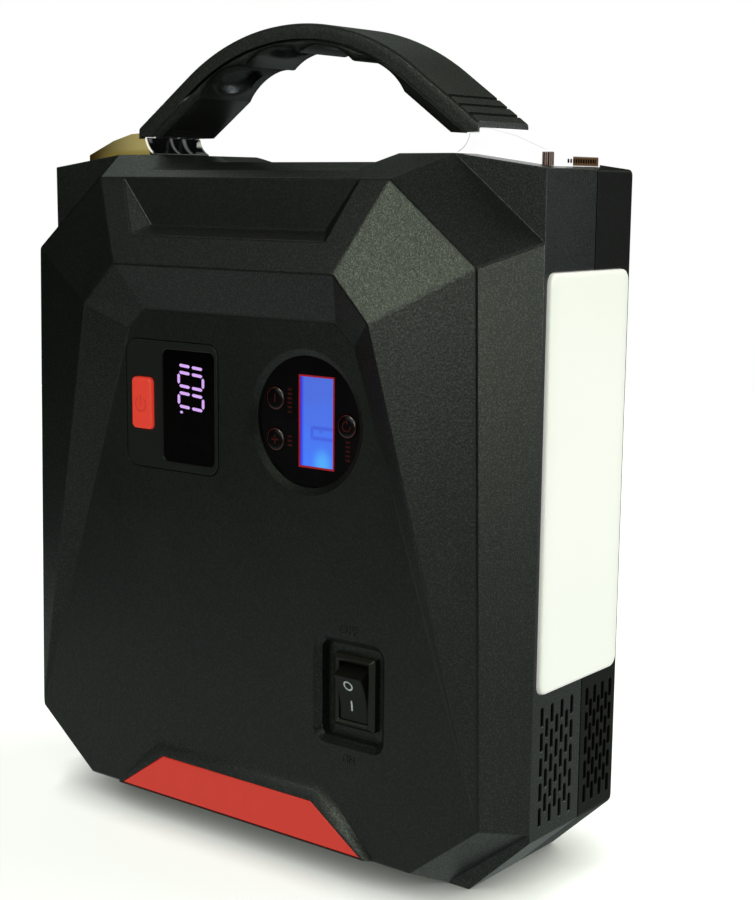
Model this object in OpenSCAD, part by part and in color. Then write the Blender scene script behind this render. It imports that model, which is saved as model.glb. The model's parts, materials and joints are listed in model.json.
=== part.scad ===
// Jump starter pack: battery, tyre inflator and work lamp in one housing with a carry handle.
// Millimetres. X runs right across the front, Y runs to the back, Z runs up.
// The origin is on the underside, midway across and midway from the front ridge to the back.

/* [Body] */
// Width of the housing from side wall to side wall
body_w = 183.4; // [180:0.2:188]
// Height of the housing at its shoulders
body_h = 201.3; // [199:0.1:205]
// Depth of the housing from the front ridge to the back
body_d = 75; // [75:0.5:80]
// Wall thickness of both shells
wall = 2.5; // [2.2:0.1:2.8]
// Distance from the front ridge to the seam between the shells
seam_d = 48.8; // [48:0.1:50]
// Width between the two shoulders of the roof
shoulder_w = 126; // [124:1:130]
// Fall of the roof from a shoulder to the side wall
roof_fall = 3.8; // [3:0.1:4.4]
// Width of the flat underside
base_w = 144.8; // [141:0.2:147]
// Height of the cut bottom corners
corner_h = 18.4; // [17:0.1:19]
// Depth of the hand scoop in the roof
scoop_drop = 2.3; // [1.6:0.1:2.6]
// Width of the floor of the hand scoop
scoop_w = 74.4; // [70:0.2:78]
// Width of the hand scoop at the shoulders
scoop_top_w = 92; // [88:1:96]
// Depth of the bevel from the front face back to the side walls
bevel_d = 15.8; // [15:0.1:16.6]
// Depth of the bevel round the back
back_bevel_d = 7.2; // [6:0.1:8]
// Width of the bevel round the back
back_bevel_w = 9; // [8:0.5:10]

/* [Front face] */
// Width of the front face at its top edge
face_top_w = 108.4; // [104:0.2:112]
// Drop from the shoulders to the top edge of the face
face_top_drop = 6.8; // [6:0.1:7.6]
// Width of the face at its upper side corners
face_side_w = 163.8; // [160:0.2:166]
// Drop from the shoulders to the upper side corners
face_side_drop = 28.6; // [27:0.1:30]
// Width of the face at its lower side corners
face_low_w = 171.6; // [169:0.2:173]
// Height of the lower side corners
face_low_z = 25.3; // [24:0.1:27]
// Width of the face at its bottom edge
face_base_w = 126.4; // [124:0.2:128]
// Height of the bottom edge of the face
face_base_z = 7.5; // [7:0.1:8.2]
// Width of the bevel where it meets the underside
root_base_w = 130.4; // [128:0.2:132]
// How far the ridge stands in front of the face
ridge_relief = 8.1; // [7:0.1:8.6]
// Width of the ridge along its top
ridge_top_w = 82.6; // [80:0.2:85]
// Drop from the shoulders to the top of the ridge
ridge_top_drop = 31.7; // [31:0.1:33]
// Width of the ridge at its side corners
ridge_side_w = 106.8; // [104:0.2:109]
// Drop from the shoulders to the side corners of the ridge
ridge_side_drop = 43.9; // [43:0.1:45]
// Width of the sunk field at its top edge
field_top_w = 72.4; // [71:0.2:74]
// Drop from the shoulders to the top edge of the sunk field
field_top_drop = 45; // [44.6:0.1:46]
// Width of the sunk field at its upper side corners
field_side_w = 86; // [85:0.2:88]
// Drop from the shoulders to those corners
field_side_drop = 50.7; // [50:0.1:52]
// Width of the notch in the top band, at its mouth
notch_top_w = 88.8; // [86:0.2:91]
// Width of the notch at its foot
notch_foot_w = 66; // [62:0.2:68]
// Drop from the shoulders to the foot of the notch
notch_drop = 20.6; // [19:0.1:21.4]

/* [Warning light] */
// Width of the red light along its top edge
light_top_w = 59.2; // [56:0.2:62]
// Width of the red light along its bottom edge
light_base_w = 97.2; // [94:0.2:99]
// Height of the top edge of the light
light_top_z = 20.9; // [20:0.1:22]
// How far the light stands in front of the face
light_relief = 1.7; // [1.2:0.1:2.2]
// Width of the sloping border round the light
light_border = 6; // [5:0.1:7]

/* [Power panel] */
// Height of both display panels above the underside
display_z = 128.4; // [127:0.1:130]
// Distance from the middle of the pack to each display panel
display_x = 25.7; // [25.4:0.1:26]
// Width of the power panel insert
panel_w = 37.2; // [36.8:0.1:38]
// Height of the power panel insert
panel_h = 38; // [37.6:0.1:39]
// Corner radius of the power panel insert
panel_r = 4; // [3:0.1:4.6]
// Width of the red power button
button_w = 8.3; // [8:0.1:8.6]
// Height of the red power button
button_h = 15.3; // [14:0.1:16]
// Travel of the power button
button_travel = 1; // [0.6:0.1:1]
// Width of the display window
window_w = 20.6; // [20:0.1:20.8]
// Height of the display window
window_h = 33.2; // [32:0.1:33.4]

/* [Inflator panel] */
// Radius of the round inflator panel
gauge_r = 18.2; // [18:0.1:18.4]
// Width of the funnel rim round the panel
funnel_w = 1.8; // [1.6:0.1:2]
// How deep the round panel is sunk into the face
gauge_sink = 2; // [1.6:0.1:2.2]
// Diameter of the three inflator keys
key_d = 6.6; // [6.2:0.1:6.8]
// Travel of the inflator keys
key_travel = 0.5; // [0.3:0.1:0.6]
// Width of the upright liquid crystal screen
lcd_w = 12.8; // [12:0.1:13]
// Height of the liquid crystal screen
lcd_h = 25.9; // [25:0.1:26.4]

/* [Master switch] */
// Distance of the rocker switch from the middle of the pack
switch_x = 41.6; // [41:0.1:42]
// Height of the rocker switch above the underside
switch_z = 54; // [53:0.1:55]
// Width of the well that the switch sits in
well_w = 21.5; // [21:0.1:22]
// Height of the well
well_h = 27.5; // [27:0.1:28]
// Depth of the well
well_d = 4.2; // [4:0.1:4.6]
// Swing of the rocker to each side of its middle
rocker_swing = 14; // [12:1:14]

/* [Side lamp] */
// Height of the lamp's middle above the underside
lamp_z = 115.1; // [114:0.1:116]
// Height of the lamp lens
lamp_h = 111.8; // [110:0.2:112.4]
// Width of the lamp lens, front to back
lamp_w = 40.1; // [39.6:0.1:40.4]
// Corner radius of the lamp lens
lamp_r = 3; // [2:0.1:4]
// How far the lens and the port plate stand out of the side walls
side_proud = 1; // [0.6:0.1:1.4]

/* [Vents] */
// Length of one vent slot
slot_l = 5.4; // [5:0.1:5.6]
// Width of one vent slot
slot_w = 1.4; // [1.2:0.1:1.5]
// Height from one slot to the next in a column
slot_pitch = 7.07; // [6.9:0.01:7.2]
// Height of the lowest slot's middle
slot_z = 24.4; // [24:0.1:25]

/* [Handle] */
// Outer radius of the arched grip
grip_r = 75; // [74:0.5:76]
// Thickness of the grip from its back to the crests between the fingers
grip_t = 8; // [7.6:0.1:8.4]
// Height of the grip's top above the shoulders
grip_rise = 36.7; // [36:0.1:38]
// Width of the grip, front to back
grip_w = 24.6; // [24:0.1:26]
// Angle at which the arch runs out into its straight legs
grip_angle = 35; // [34.4:0.1:35.6]
// Distance from the middle to each end of the grip
grip_end = 63.8; // [63.4:0.1:64.2]
// Height of the grip's ends above the shoulders
grip_clear = 5.7; // [5.5:0.1:6.2]
// Depth of the finger hollows
finger_depth = 2.4; // [1.6:0.1:2.8]
// Length of each chromed end block, from the grip outwards
block_l = 23.2; // [22:0.1:24]

/* [Battery] */
// Diameter of one battery cell
cell_d = 32.5; // [32:0.1:32.8]
// Length of one battery cell
cell_l = 70.5; // [69:0.1:71]
// Distance between neighbouring cells
cell_pitch = 34; // [33.8:0.1:34.4]
// Height of the bottom of the cells
cell_z = 112; // [111.8:0.1:113]

/* [Pump] */
// Diameter of the pump motor
motor_d = 36; // [34:0.1:36.4]
// Height of the motor shaft above the underside
shaft_z = 30; // [29.6:0.1:30.6]
// Tooth size of the pump gears (module)
tooth = 0.9; // [0.88:0.01:0.9]
// Teeth on the motor pinion
pinion_teeth = 12; // [12:1:13]
// Teeth on the crank gear
crank_teeth = 36; // [34:1:37]
// Stroke of the pump piston
stroke = 12; // [10:0.5:12]
// Bore of the pump cylinder
pump_bore = 18; // [17:0.1:18.4]

/* [Hidden] */
$fn = 64;
// Sliver used where a cut has to run past a face
eps = 0.01;
// Clearance round pieces that drop into a pocket
fit = 0.2;
// Clearance on each side of a moving key
key_gap = 0.15;
// Radial clearance of a running shaft
run_gap = 0.06;

half_w = body_w / 2;
front_y = -body_d / 2;
back_y = body_d / 2;
face_y = front_y + ridge_relief;
root_y = face_y + bevel_d;
seam_y = front_y + seam_d;
core_back_y = back_y - back_bevel_d;
core_mid_y = (root_y + core_back_y) / 2;
face_t = 3;
inner_face_y = face_y + face_t;
scoop_z = body_h - scoop_drop;
side_top_z = body_h - roof_fall;

// Corners of the front face, anticlockwise from the bottom left as seen from the front
face_top_z = body_h - face_top_drop;
face_side_z = body_h - face_side_drop;
face_pts = both_sides([[face_base_w / 2, face_base_z], [face_low_w / 2, face_low_z],
    [face_side_w / 2, face_side_z], [face_top_w / 2, face_top_z]]);
// Corners of the bevel where it meets the side walls; its corner cuts run parallel to the face's
root_low_z = (half_w - root_base_w / 2) * (face_low_z - face_base_z) / ((face_low_w - face_base_w) / 2);
root_side_z = body_h - (half_w - shoulder_w / 2) * (face_top_z - face_side_z)
    / ((face_side_w - face_top_w) / 2);
root_pts = both_sides([[root_base_w / 2, 0], [half_w, root_low_z], [half_w, root_side_z],
    [shoulder_w / 2, body_h]]);
// Outline of the housing between the bevels
body_pts = both_sides([[base_w / 2, 0], [half_w, corner_h], [half_w, side_top_z],
    [shoulder_w / 2, body_h]]);
// Outline that the cavity follows: its roof is lowered to stay under the scoop
hollow_pts = both_sides([[base_w / 2, 0], [half_w, corner_h], [half_w, side_top_z - scoop_drop],
    [shoulder_w / 2, scoop_z]]);
hollow_face_pts = both_sides([[face_base_w / 2, face_base_z], [face_low_w / 2, face_low_z],
    [face_side_w / 2, face_side_z], [face_top_w / 2, face_top_z - scoop_drop]]);
hollow_root_pts = both_sides([[root_base_w / 2, 0], [half_w, root_low_z], [half_w, root_side_z],
    [shoulder_w / 2, scoop_z]]);

// Mirrors right-hand points, listed bottom to top, into a closed anticlockwise outline
function both_sides(right) = let(n = len(right))
    concat([[-right[0].x, right[0].y]], right, [for (i = [n - 1:-1:1]) [-right[i].x, right[i].y]]);
function cross2(a, b) = a.x * b.y - a.y * b.x;
function unit(v) = v / norm(v);
// Moves each side of a convex anticlockwise outline inwards by d
function inset(p, d) = let(n = len(p)) [for (i = [0:n - 1])
    let(u = unit(p[i] - p[(i + n - 1) % n]), v = unit(p[(i + 1) % n] - p[i]),
        a = [-u.y, u.x], b = [-v.y, v.x]) p[i] + (a + b) * d / (1 + a * b)];
// Height of the roof at a distance x from the middle, outside the scoop
function roof_z(x) = body_h - max(0, x - shoulder_w / 2) * roof_fall / (half_w - shoulder_w / 2);

// Extrudes an XZ outline from y0 back to y1
module prism_y(pts, y0, y1) {
    translate([0, y1, 0]) rotate([90, 0, 0]) linear_extrude(y1 - y0) polygon(pts);
}
// Joins outline p0 at y0 to outline p1 at y1, point for point
module loft_y(p0, y0, p1, y1) {
    n = len(p0);
    polyhedron(
        points = concat([for (p = p0) [p.x, y0, p.y]], [for (p = p1) [p.x, y1, p.y]]),
        faces = concat([[for (i = [n - 1:-1:0]) i]], [[for (i = [0:n - 1]) n + i]],
            [for (i = [0:n - 1]) [i, (i + 1) % n, n + (i + 1) % n]],
            [for (i = [0:n - 1]) [i, n + (i + 1) % n, n + i]]));
}
// Round bar along Y from y0 to y1
module bar_y(x, z, r, y0, y1) {
    translate([x, y1, z]) rotate([90, 0, 0]) cylinder(r = r, h = y1 - y0);
}
// Round bar along X from x0 to x1
module bar_x(y, z, r, x0, x1) {
    translate([x0, y, z]) rotate([0, 90, 0]) cylinder(r = r, h = x1 - x0);
}
module bar_z(x, y, r, z0, z1) {
    translate([x, y, z0]) cylinder(r = r, h = z1 - z0);
}
module box(x0, x1, y0, y1, z0, z1) {
    translate([x0, y0, z0]) cube([x1 - x0, y1 - y0, z1 - z0]);
}
// Rectangle with round corners, centred
module round_rect(w, h, r) {
    square([w - 2 * r, h], center = true);
    square([w, h - 2 * r], center = true);
    for (sx = [-1, 1], sz = [-1, 1]) translate([sx * (w / 2 - r), sz * (h / 2 - r)]) circle(r);
}
// Plate with round corners in the XZ plane, centred on x and z
module plate_y(x, z, w, h, r, y0, y1) {
    translate([x, y1, z]) rotate([90, 0, 0]) linear_extrude(y1 - y0) round_rect(w, h, r);
}
// Plate with round corners in the YZ plane, w along Y and h along Z
module plate_x(y, z, w, h, r, x0, x1) {
    translate([x0, y, z]) rotate([90, 0, 90]) linear_extrude(x1 - x0) round_rect(w, h, r);
}
module mirror_x() {
    children();
    mirror([1, 0, 0]) children();
}

// ---- housing ----
boss_r = 3.8;
screw_r = 1.5;
// Screw posts: x, z and how far in front of the seam each front boss starts
posts = [[-58, 7, 34], [58, 7, 34], [-85.5, 186, 22], [85.5, 186, 22], [-85.5, 100, 22],
    [74.8, 100, seam_y - face_y - 0.2]];
lip_t = 1.2;
lip_h = 2;
seam_gap = 0.3;
shell_screw_seat_y = back_y - 9;
shell_screw_len = shell_screw_seat_y - seam_y + 8.8;

// Hand scoop: a flat trough with ramped ends, and a lip that falls to the front
scoop_lip_y = face_y + 4.8;
scoop_lip_z = face_top_z + (body_h - face_top_z) * 4.8 / bevel_d - 0.1;
module scoop_cut() {
    over = 0.3;
    k = 1 + over / scoop_drop;
    ramp = (scoop_top_w - scoop_w) / 2;
    trough = [[-scoop_w / 2, scoop_z], [scoop_w / 2, scoop_z], [scoop_w / 2 + ramp * k, body_h + over],
        [-scoop_w / 2 - ramp * k, body_h + over]];
    lip_w = (scoop_w + scoop_top_w) / 2 - 4.6;
    lip = [[-lip_w / 2, scoop_lip_z], [lip_w / 2, scoop_lip_z], [lip_w / 2 + 0.6, scoop_lip_z + 0.4],
        [-lip_w / 2 - 0.6, scoop_lip_z + 0.4]];
    prism_y(trough, root_y, back_y + 1);
    loft_y(lip, scoop_lip_y, trough, root_y + eps);
}
// Top outline of the red light and the foot of its border
light_pts = both_sides([[light_base_w / 2, face_base_z + 0.3], [light_top_w / 2, light_top_z]]);
light_foot_pts = both_sides([[light_base_w / 2 + 2, face_base_z + 0.2],
    [light_top_w / 2 + light_border * 0.5, light_top_z + light_border]]);

light_slot = light_top_w / 2 - 5;
warning_board_y = inner_face_y + 1.4;

// The ridge that frames the sunk field: highest at its upper corners, nothing at the lower ones
module ridge() {
    z_top = body_h - ridge_top_drop;
    z_side = body_h - ridge_side_drop;
    t = [face_top_w / 2, face_top_z];
    s = [face_side_w / 2, face_side_z];
    b = [face_low_w / 2, face_low_z];
    r1 = [ridge_top_w / 2, z_top];
    r2 = [ridge_side_w / 2, z_side];
    p1 = [field_top_w / 2, body_h - field_top_drop];
    p2 = [field_side_w / 2, body_h - field_side_drop];
    // Both ridge corners lie on one flat facet that starts along the edge from t to s
    relief_top = ridge_relief * cross2(s - t, r1 - t) / cross2(s - t, r2 - t);
    back = face_y + 1;
    ring = [t, s, b, p2, p1];
    n = 5;
    m = 2 * n;
    loop = concat(ring, [for (i = [n - 1:-1:0]) [-ring[i].x, ring[i].y]]);
    pts = concat([for (p = loop) [p.x, face_y, p.y]], [for (p = loop) [p.x, back, p.y]],
        [[r1.x, face_y - relief_top, r1.y], [r2.x, front_y, r2.y],
         [-r1.x, face_y - relief_top, r1.y], [-r2.x, front_y, r2.y]]);
    a1 = 2 * m;
    a2 = 2 * m + 1;
    c1 = 2 * m + 2;
    c2 = 2 * m + 3;
    polyhedron(points = pts, faces = concat(
        // right half: facet, long side, inner side, inner corner
        [[1, a2, 0], [a2, a1, 0], [2, a2, 1], [3, a2, 2], [4, a2, 3], [a1, a2, 4]],
        // left half
        [[c2, 8, 9], [c1, c2, 9], [c2, 7, 8], [c2, 6, 7], [c2, 5, 6], [c2, c1, 5]],
        // top band and inner top wall
        [[a1, c1, 9], [0, a1, 9], [c1, a1, 4], [5, c1, 4]],
        // sides and back
        [for (i = [0:m - 1]) [m + (i + 1) % m, (i + 1) % m, i]],
        [for (i = [0:m - 1]) [m + i, m + (i + 1) % m, i]],
        [[for (i = [m - 1:-1:0]) m + i]]));
}
// Notch cut into the top band, down to the plane of the face
module notch_cut() {
    foot_z = body_h - notch_drop;
    side = (notch_top_w - notch_foot_w) / 2 / (face_top_z - foot_z);
    reach = 10;
    over = 6;
    floor_pts = both_sides([[notch_foot_w / 2, foot_z],
        [notch_foot_w / 2 + side * (face_top_z + over - foot_z), face_top_z + over]]);
    mouth_pts = both_sides([[notch_foot_w / 2 + 0.7 * reach, foot_z - 0.55 * reach],
        [notch_foot_w / 2 + side * (face_top_z + over - foot_z) + 1, face_top_z + over]]);
    loft_y(mouth_pts, face_y - reach, floor_pts, face_y);
}
module front_outer() {
    loft_y(face_pts, face_y, root_pts, root_y);
    prism_y(body_pts, root_y, seam_y);
    difference() {
        ridge();
        notch_cut();
    }
    loft_y(light_pts, face_y - light_relief, light_foot_pts, face_y + eps);
}
// Space behind the ridge, so that its wall stays even
module ridge_hollow() {
    intersection() {
        translate([0, face_t + 0.2, 0]) difference() {
            ridge();
            notch_cut();
        }
        prism_y(inset(face_pts, wall), front_y, inner_face_y + 0.6);
    }
}
module front_hollow() {
    ridge_hollow();
    loft_y(inset(hollow_face_pts, wall), inner_face_y, inset(hollow_root_pts, wall), root_y);
    prism_y(inset(hollow_root_pts, wall), root_y - eps, root_y + wall + eps);
    prism_y(inset(hollow_pts, wall), root_y + wall, seam_y + 1);
}
module slot_shape() {
    square([slot_w, slot_l - slot_w], center = true);
    for (s = [-1, 1]) translate([0, s * (slot_l - slot_w) / 2]) circle(d = slot_w, $fn = 12);
}
rear_vent_pitch = 2.0995;
vent_margin = 2.5;
// Vent slots in one side wall: columns of five slots and four by turns
module vents(y_mid, pitch, columns = 7) {
    for (c = [0:columns - 1], k = [0:(c % 2 == 0 ? 4 : 3)])
        translate([half_w - wall - 1, y_mid + (c - (columns - 1) / 2) * pitch, slot_z + (k + (c % 2) / 2) * slot_pitch])
            rotate([90, 0, 90]) linear_extrude(wall + 2) slot_shape();
}
lamp_step = 1.5;
port_z = 60;
port_w = 36;
port_h = 62;
// Stepped opening for the lamp lens on the right, and for the port plate on the left
module side_openings() {
    plate_x(core_mid_y, lamp_z, lamp_w + fit, lamp_h + fit, lamp_r, half_w - lamp_step, half_w + 1);
    plate_x(core_mid_y, lamp_z, lamp_w - 4, lamp_h - 4, lamp_r - 1, half_w - wall - 1, half_w);
    plate_x(core_mid_y, port_z, port_w + fit, port_h + fit, 3, -half_w - 1, -half_w + lamp_step);
    plate_x(core_mid_y, port_z, port_w - 4, port_h - 4, 2, -half_w, -half_w + wall + 1);
}
handle_screw_x = 70;
handle_screw_ys = [-6.4, 6.4];
handle_pad_r = 5;
handle_pad_z = roof_z(handle_screw_x) - 5.5;
module handle_pads() {
    for (sx = [-1, 1], dy = handle_screw_ys)
        bar_z(sx * handle_screw_x, core_mid_y + dy, handle_pad_r, handle_pad_z, roof_z(handle_screw_x) - 1.6);
}
module handle_holes() {
    for (sx = [-1, 1], dy = handle_screw_ys)
        bar_z(sx * handle_screw_x, core_mid_y + dy, 2.08, handle_pad_z - 1, body_h + 1);
}
panel_x = -display_x;
gauge_x = display_x;
panel_t = 1.6;
gauge_ledge_y = face_y + gauge_sink + 2;
gauge_ledge_r = gauge_r - 0.7;
funnel_r = gauge_r + funnel_w;
well_floor_y = face_y + well_d;
well_chamfer = 1.6;
bezel_w = 15;
bezel_h = 21;
bezel_t = 1.6;
// Board posts: distance from each panel's middle
board_post_x = 17;
board_post_z = 20.4;
display_board_y = face_y + 8;
gauge_post = 20;
gauge_board_y = face_y + 10;
module front_shell() {
    color("#2a2d2c") difference() {
        union() {
            difference() {
                front_outer();
                front_hollow();
                scoop_cut();
            }
            // thick rings and pockets behind the face
            bar_y(gauge_x, display_z, funnel_r + 0.8, inner_face_y - eps, gauge_ledge_y + 1.4);
            box(switch_x - well_w / 2 - wall, switch_x + well_w / 2 + wall, inner_face_y - eps,
                well_floor_y + 2,
                switch_z - well_h / 2 - wall, switch_z + well_h / 2 + wall);
            for (sx = [-1, 1]) bar_y(sx * (light_slot + 2), 14.3, 1.5, inner_face_y - eps, warning_board_y);
            for (sx = [-1, 1], sz = [-1, 1]) {
                bar_y(panel_x + sx * board_post_x, display_z + sz * board_post_z, 2.2, inner_face_y - eps,
                    display_board_y);
                bar_y(gauge_x + sx * gauge_post, display_z + sz * gauge_post, 2.2, inner_face_y - eps,
                    gauge_board_y);
            }
            intersection() {
                union() {
                    for (p = posts) bar_y(p[0], p[1], boss_r, seam_y - p[2], seam_y);
                }
                union() {
                    loft_y(inset(face_pts, 1), face_y, inset(root_pts, 1), root_y + eps);
                    prism_y(inset(body_pts, 1), root_y, seam_y);
                }
            }
            intersection() {
                handle_pads();
                box(-half_w, half_w, root_y, seam_y, 0, body_h);
            }
        }
        for (p = posts) bar_y(p[0], p[1], screw_r + 0.02, seam_y - 14, seam_y + 1);
        for (sx = [-1, 1], sz = [-1, 1]) {
            bar_y(panel_x + sx * board_post_x, display_z + sz * board_post_z, 0.82, display_board_y - 5,
                display_board_y + 1);
            bar_y(gauge_x + sx * gauge_post, display_z + sz * gauge_post, 0.82, gauge_board_y - 5,
                gauge_board_y + 1);
        }
        // pocket and opening for the power panel
        plate_y(panel_x, display_z, panel_w + 2 * fit, panel_h + 2 * fit, panel_r, face_y - 1,
            face_y + panel_t);
        plate_y(panel_x, display_z, panel_w - 2.4, panel_h - 2.4, panel_r - 1, face_y, inner_face_y + 1);
        // funnel, bore and ledge for the round inflator panel
        translate([gauge_x, face_y, display_z]) rotate([-90, 0, 0])
            cylinder(r1 = funnel_r, r2 = gauge_r + 0.15, h = 1.2);
        bar_y(gauge_x, display_z, funnel_r, face_y - 2, face_y + eps);
        bar_y(gauge_x, display_z, gauge_r + 0.15, face_y, gauge_ledge_y);
        bar_y(gauge_x, display_z, gauge_ledge_r, face_y, gauge_ledge_y + 3);
        // well for the rocker switch, with a sloping rim
        plate_y(switch_x, switch_z, well_w, well_h, 2.5, face_y - 1, well_floor_y);
        hull() {
            plate_y(switch_x, switch_z, well_w + 2 * well_chamfer, well_h + 2 * well_chamfer, 4, face_y - 0.1,
                face_y);
            plate_y(switch_x, switch_z, well_w, well_h, 2.5, face_y + well_chamfer - 0.1,
                face_y + well_chamfer);
        }
        box(switch_x - 6.55, switch_x + 6.55, face_y, well_floor_y + 3, switch_z - 9.65, switch_z + 9.65);
        // pocket and light slot for the red lens
        prism_y(inset(light_pts, 0.35), face_y - light_relief - 1, face_y + 1.2);
        box(-light_slot, light_slot, face_y, inner_face_y + 1, 11.5, 17);
        side_openings();
        vents(root_y + 12.5, 2.53);
        handle_holes();
    }
}
module rear_outer() {
    prism_y(body_pts, seam_y + seam_gap, core_back_y);
    loft_y(body_pts, core_back_y - eps, inset(body_pts, back_bevel_w), back_y);
}
module rear_hollow() {
    prism_y(inset(hollow_pts, wall), seam_y - 1, core_back_y);
    loft_y(inset(hollow_pts, wall), core_back_y - eps, inset(hollow_pts, back_bevel_w + wall * 0.6),
        back_y - wall);
}
shelf_t = 2.5;
rear_slot_n = 9;
module rear_shell() {
    color("#222423") difference() {
        union() {
            difference() {
                rear_outer();
                rear_hollow();
            }
            // tongue that reaches inside the front shell; its root is one with the wall
            difference() {
                union() {
                    prism_y(inset(hollow_pts, wall + 0.1), seam_y - lip_h, seam_y + 3);
                    prism_y(inset(hollow_pts, wall - 0.4), seam_y + seam_gap, seam_y + 3);
                }
                prism_y(inset(hollow_pts, wall + 0.1 + lip_t), seam_y - lip_h - 1, seam_y + 4);
                // gaps in the tongue for the posts, the lamp and the ports
                for (p = posts) box(p[0] - boss_r - 0.3, p[0] + boss_r + 0.3, seam_y - 4, seam_y + 5,
                    p[1] - boss_r - 0.3, p[1] + boss_r + 0.3);
                box(half_w - 12, half_w, seam_y - 4, seam_y + 5, lamp_z - lamp_h / 2, lamp_z + lamp_h / 2);
                box(-half_w, -half_w + 12, seam_y - 4, seam_y + 5, port_z - port_h / 2, port_z + port_h / 2);
                for (sx = [-1, 1]) box(sx * handle_screw_x - 6, sx * handle_screw_x + 6, seam_y - 4,
                    seam_y + 5,
                    body_h - 14, body_h);
                box(relay_x - 16, relay_x + 16, seam_y - 4, seam_y + 5, 0, 9);
                box(frame_x0 - 25, frame_x1 + 1, seam_y - 4, seam_y + 5, 0, 9);
            }
            intersection() {
                for (p = posts) bar_y(p[0], p[1], boss_r, seam_y, back_y);
                union() {
                    prism_y(inset(body_pts, 1), seam_y, core_back_y);
                    loft_y(inset(body_pts, 1), core_back_y - eps, inset(body_pts, back_bevel_w + 1),
                        back_y - 1);
                }
            }
            intersection() {
                handle_pads();
                box(-half_w, half_w, seam_y + seam_gap, back_y, 0, body_h);
            }
            // shelves that carry the battery holders
            for (z = [cell_z - 2.6, cell_z + cell_l - 8 - 2.6])
                box(-70, 70, cell_y + 8, back_y - wall + eps, z, z + shelf_t - eps);
        }
        // windows in the shelves for the cells
        for (i = [-1.5:1:1.5]) bar_z(i * cell_pitch, cell_y, cell_d / 2 + 0.6, cell_z - 5, cell_z + cell_l);
        for (p = posts) {
            bar_y(p[0], p[1], 3.6, shell_screw_seat_y, back_y + 1);
            bar_y(p[0], p[1], screw_r + 0.08, seam_y - 1, back_y);
        }
        scoop_cut();
        side_openings();
        vents((seam_y + core_back_y) / 2 + 0.1, rear_vent_pitch,
            1 + floor((core_back_y - seam_y - 2 * vent_margin) / rear_vent_pitch));
        handle_holes();
        // cooling slots for the pump, low in the back
        for (i = [0:rear_slot_n - 1])
            plate_y((i - (rear_slot_n - 1) / 2) * 7, 48, 2.4, 30, 1.2 - eps, back_y - wall - 1, back_y + 1);
    }
}
module shell_screws() {
    color("#8a8d90") for (p = posts) {
        bar_y(p[0], p[1], screw_r, shell_screw_seat_y - shell_screw_len, shell_screw_seat_y + eps);
        difference() {
            bar_y(p[0], p[1], 3.1, shell_screw_seat_y, shell_screw_seat_y + 2.2);
            bar_y(p[0], p[1], 1.2, shell_screw_seat_y + 0.9, shell_screw_seat_y + 3);
        }
    }
}

// ---- handle ----
grip_top_z = body_h + grip_rise;
arch_z = grip_top_z - grip_r;
grip_foot_z = body_h + grip_clear;
inner_r = grip_r - grip_t;
crest_angle = grip_angle / 2;
// One finger hollow: a circle through two crests that reaches finger_depth past the inner arch
finger_half = inner_r * sin(crest_angle / 2);
finger_rise = finger_depth + inner_r * (1 - cos(crest_angle / 2));
finger_r = (finger_half * finger_half + finger_rise * finger_rise) / (2 * finger_rise);
tongue_w = 16;
// Radius of the grip's inner edge at an angle t from the middle of a finger hollow
finger_mid = inner_r * cos(crest_angle / 2) + finger_rise - finger_r;
function hollow_r(t) = finger_mid * cos(t) + sqrt(finger_r * finger_r - pow(finger_mid * sin(t), 2));
function polar(a, r) = [r * sin(a), r * cos(a)];
// The grip from the front: an arch with four finger hollows and two straight legs
module grip_profile() {
    dir = [cos(grip_angle), -sin(grip_angle)];
    top = polar(grip_angle, grip_r);
    low = polar(grip_angle, inner_r);
    foot = grip_foot_z - arch_z;
    leg = [top + dir * (grip_end - top.x) / cos(grip_angle), [grip_end, foot],
        low + dir * (low.y - foot) / sin(grip_angle)];
    steps = 12;
    polygon(concat([for (i = [-14:14]) polar(grip_angle * i / 14, grip_r)], leg,
        [for (i = [0:4 * steps]) polar(crest_angle * (2 - i / steps),
            hollow_r(crest_angle * (i % steps / steps - 0.5)))],
        [for (i = [2:-1:0]) [-leg[i].x, leg[i].y]]));
}
tongue_l = 11;
// Middle of the grip's straight leg, and where it meets the level of the foot
leg_mid = [sin(grip_angle), cos(grip_angle)] * (grip_r - grip_t / 2 - 0.6);
leg_run = (leg_mid.y - (grip_foot_z - arch_z)) / sin(grip_angle);
leg_foot_x = leg_mid.x + leg_run * cos(grip_angle);
// Flat tongue of an end block, inside the lower half of the grip's leg
module tongue(grow) {
    translate([leg_foot_x, core_mid_y, grip_foot_z]) rotate([0, grip_angle, 0])
        translate([-tongue_l - grow, -tongue_w / 2 - grow, -1.5 - grow])
            cube([tongue_l + grow + 3, tongue_w + 2 * grow, 3 + 2 * grow]);
}
module handle_grip() {
    color("#26292a") difference() {
        translate([0, core_mid_y + grip_w / 2, arch_z]) rotate([90, 0,
            0]) linear_extrude(grip_w) grip_profile();
        mirror_x() tongue(0.1);
        // thumb grooves across the top near each end
        mirror_x() for (k = [0:2]) {
            run = 13.5 + 4.2 * k;
            po = [sin(grip_angle), cos(grip_angle)] * grip_r + [cos(grip_angle), -sin(grip_angle)] * run;
            translate([po.x, core_mid_y - grip_w / 2 + 0.8, arch_z + po.y]) rotate([0, grip_angle, 0])
                translate([-0.5, 0, -0.7]) cube([1, grip_w, 2]);
        }
    }
}
block_w = grip_w - 0.4;
block_hole_r = 1.94;
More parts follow.
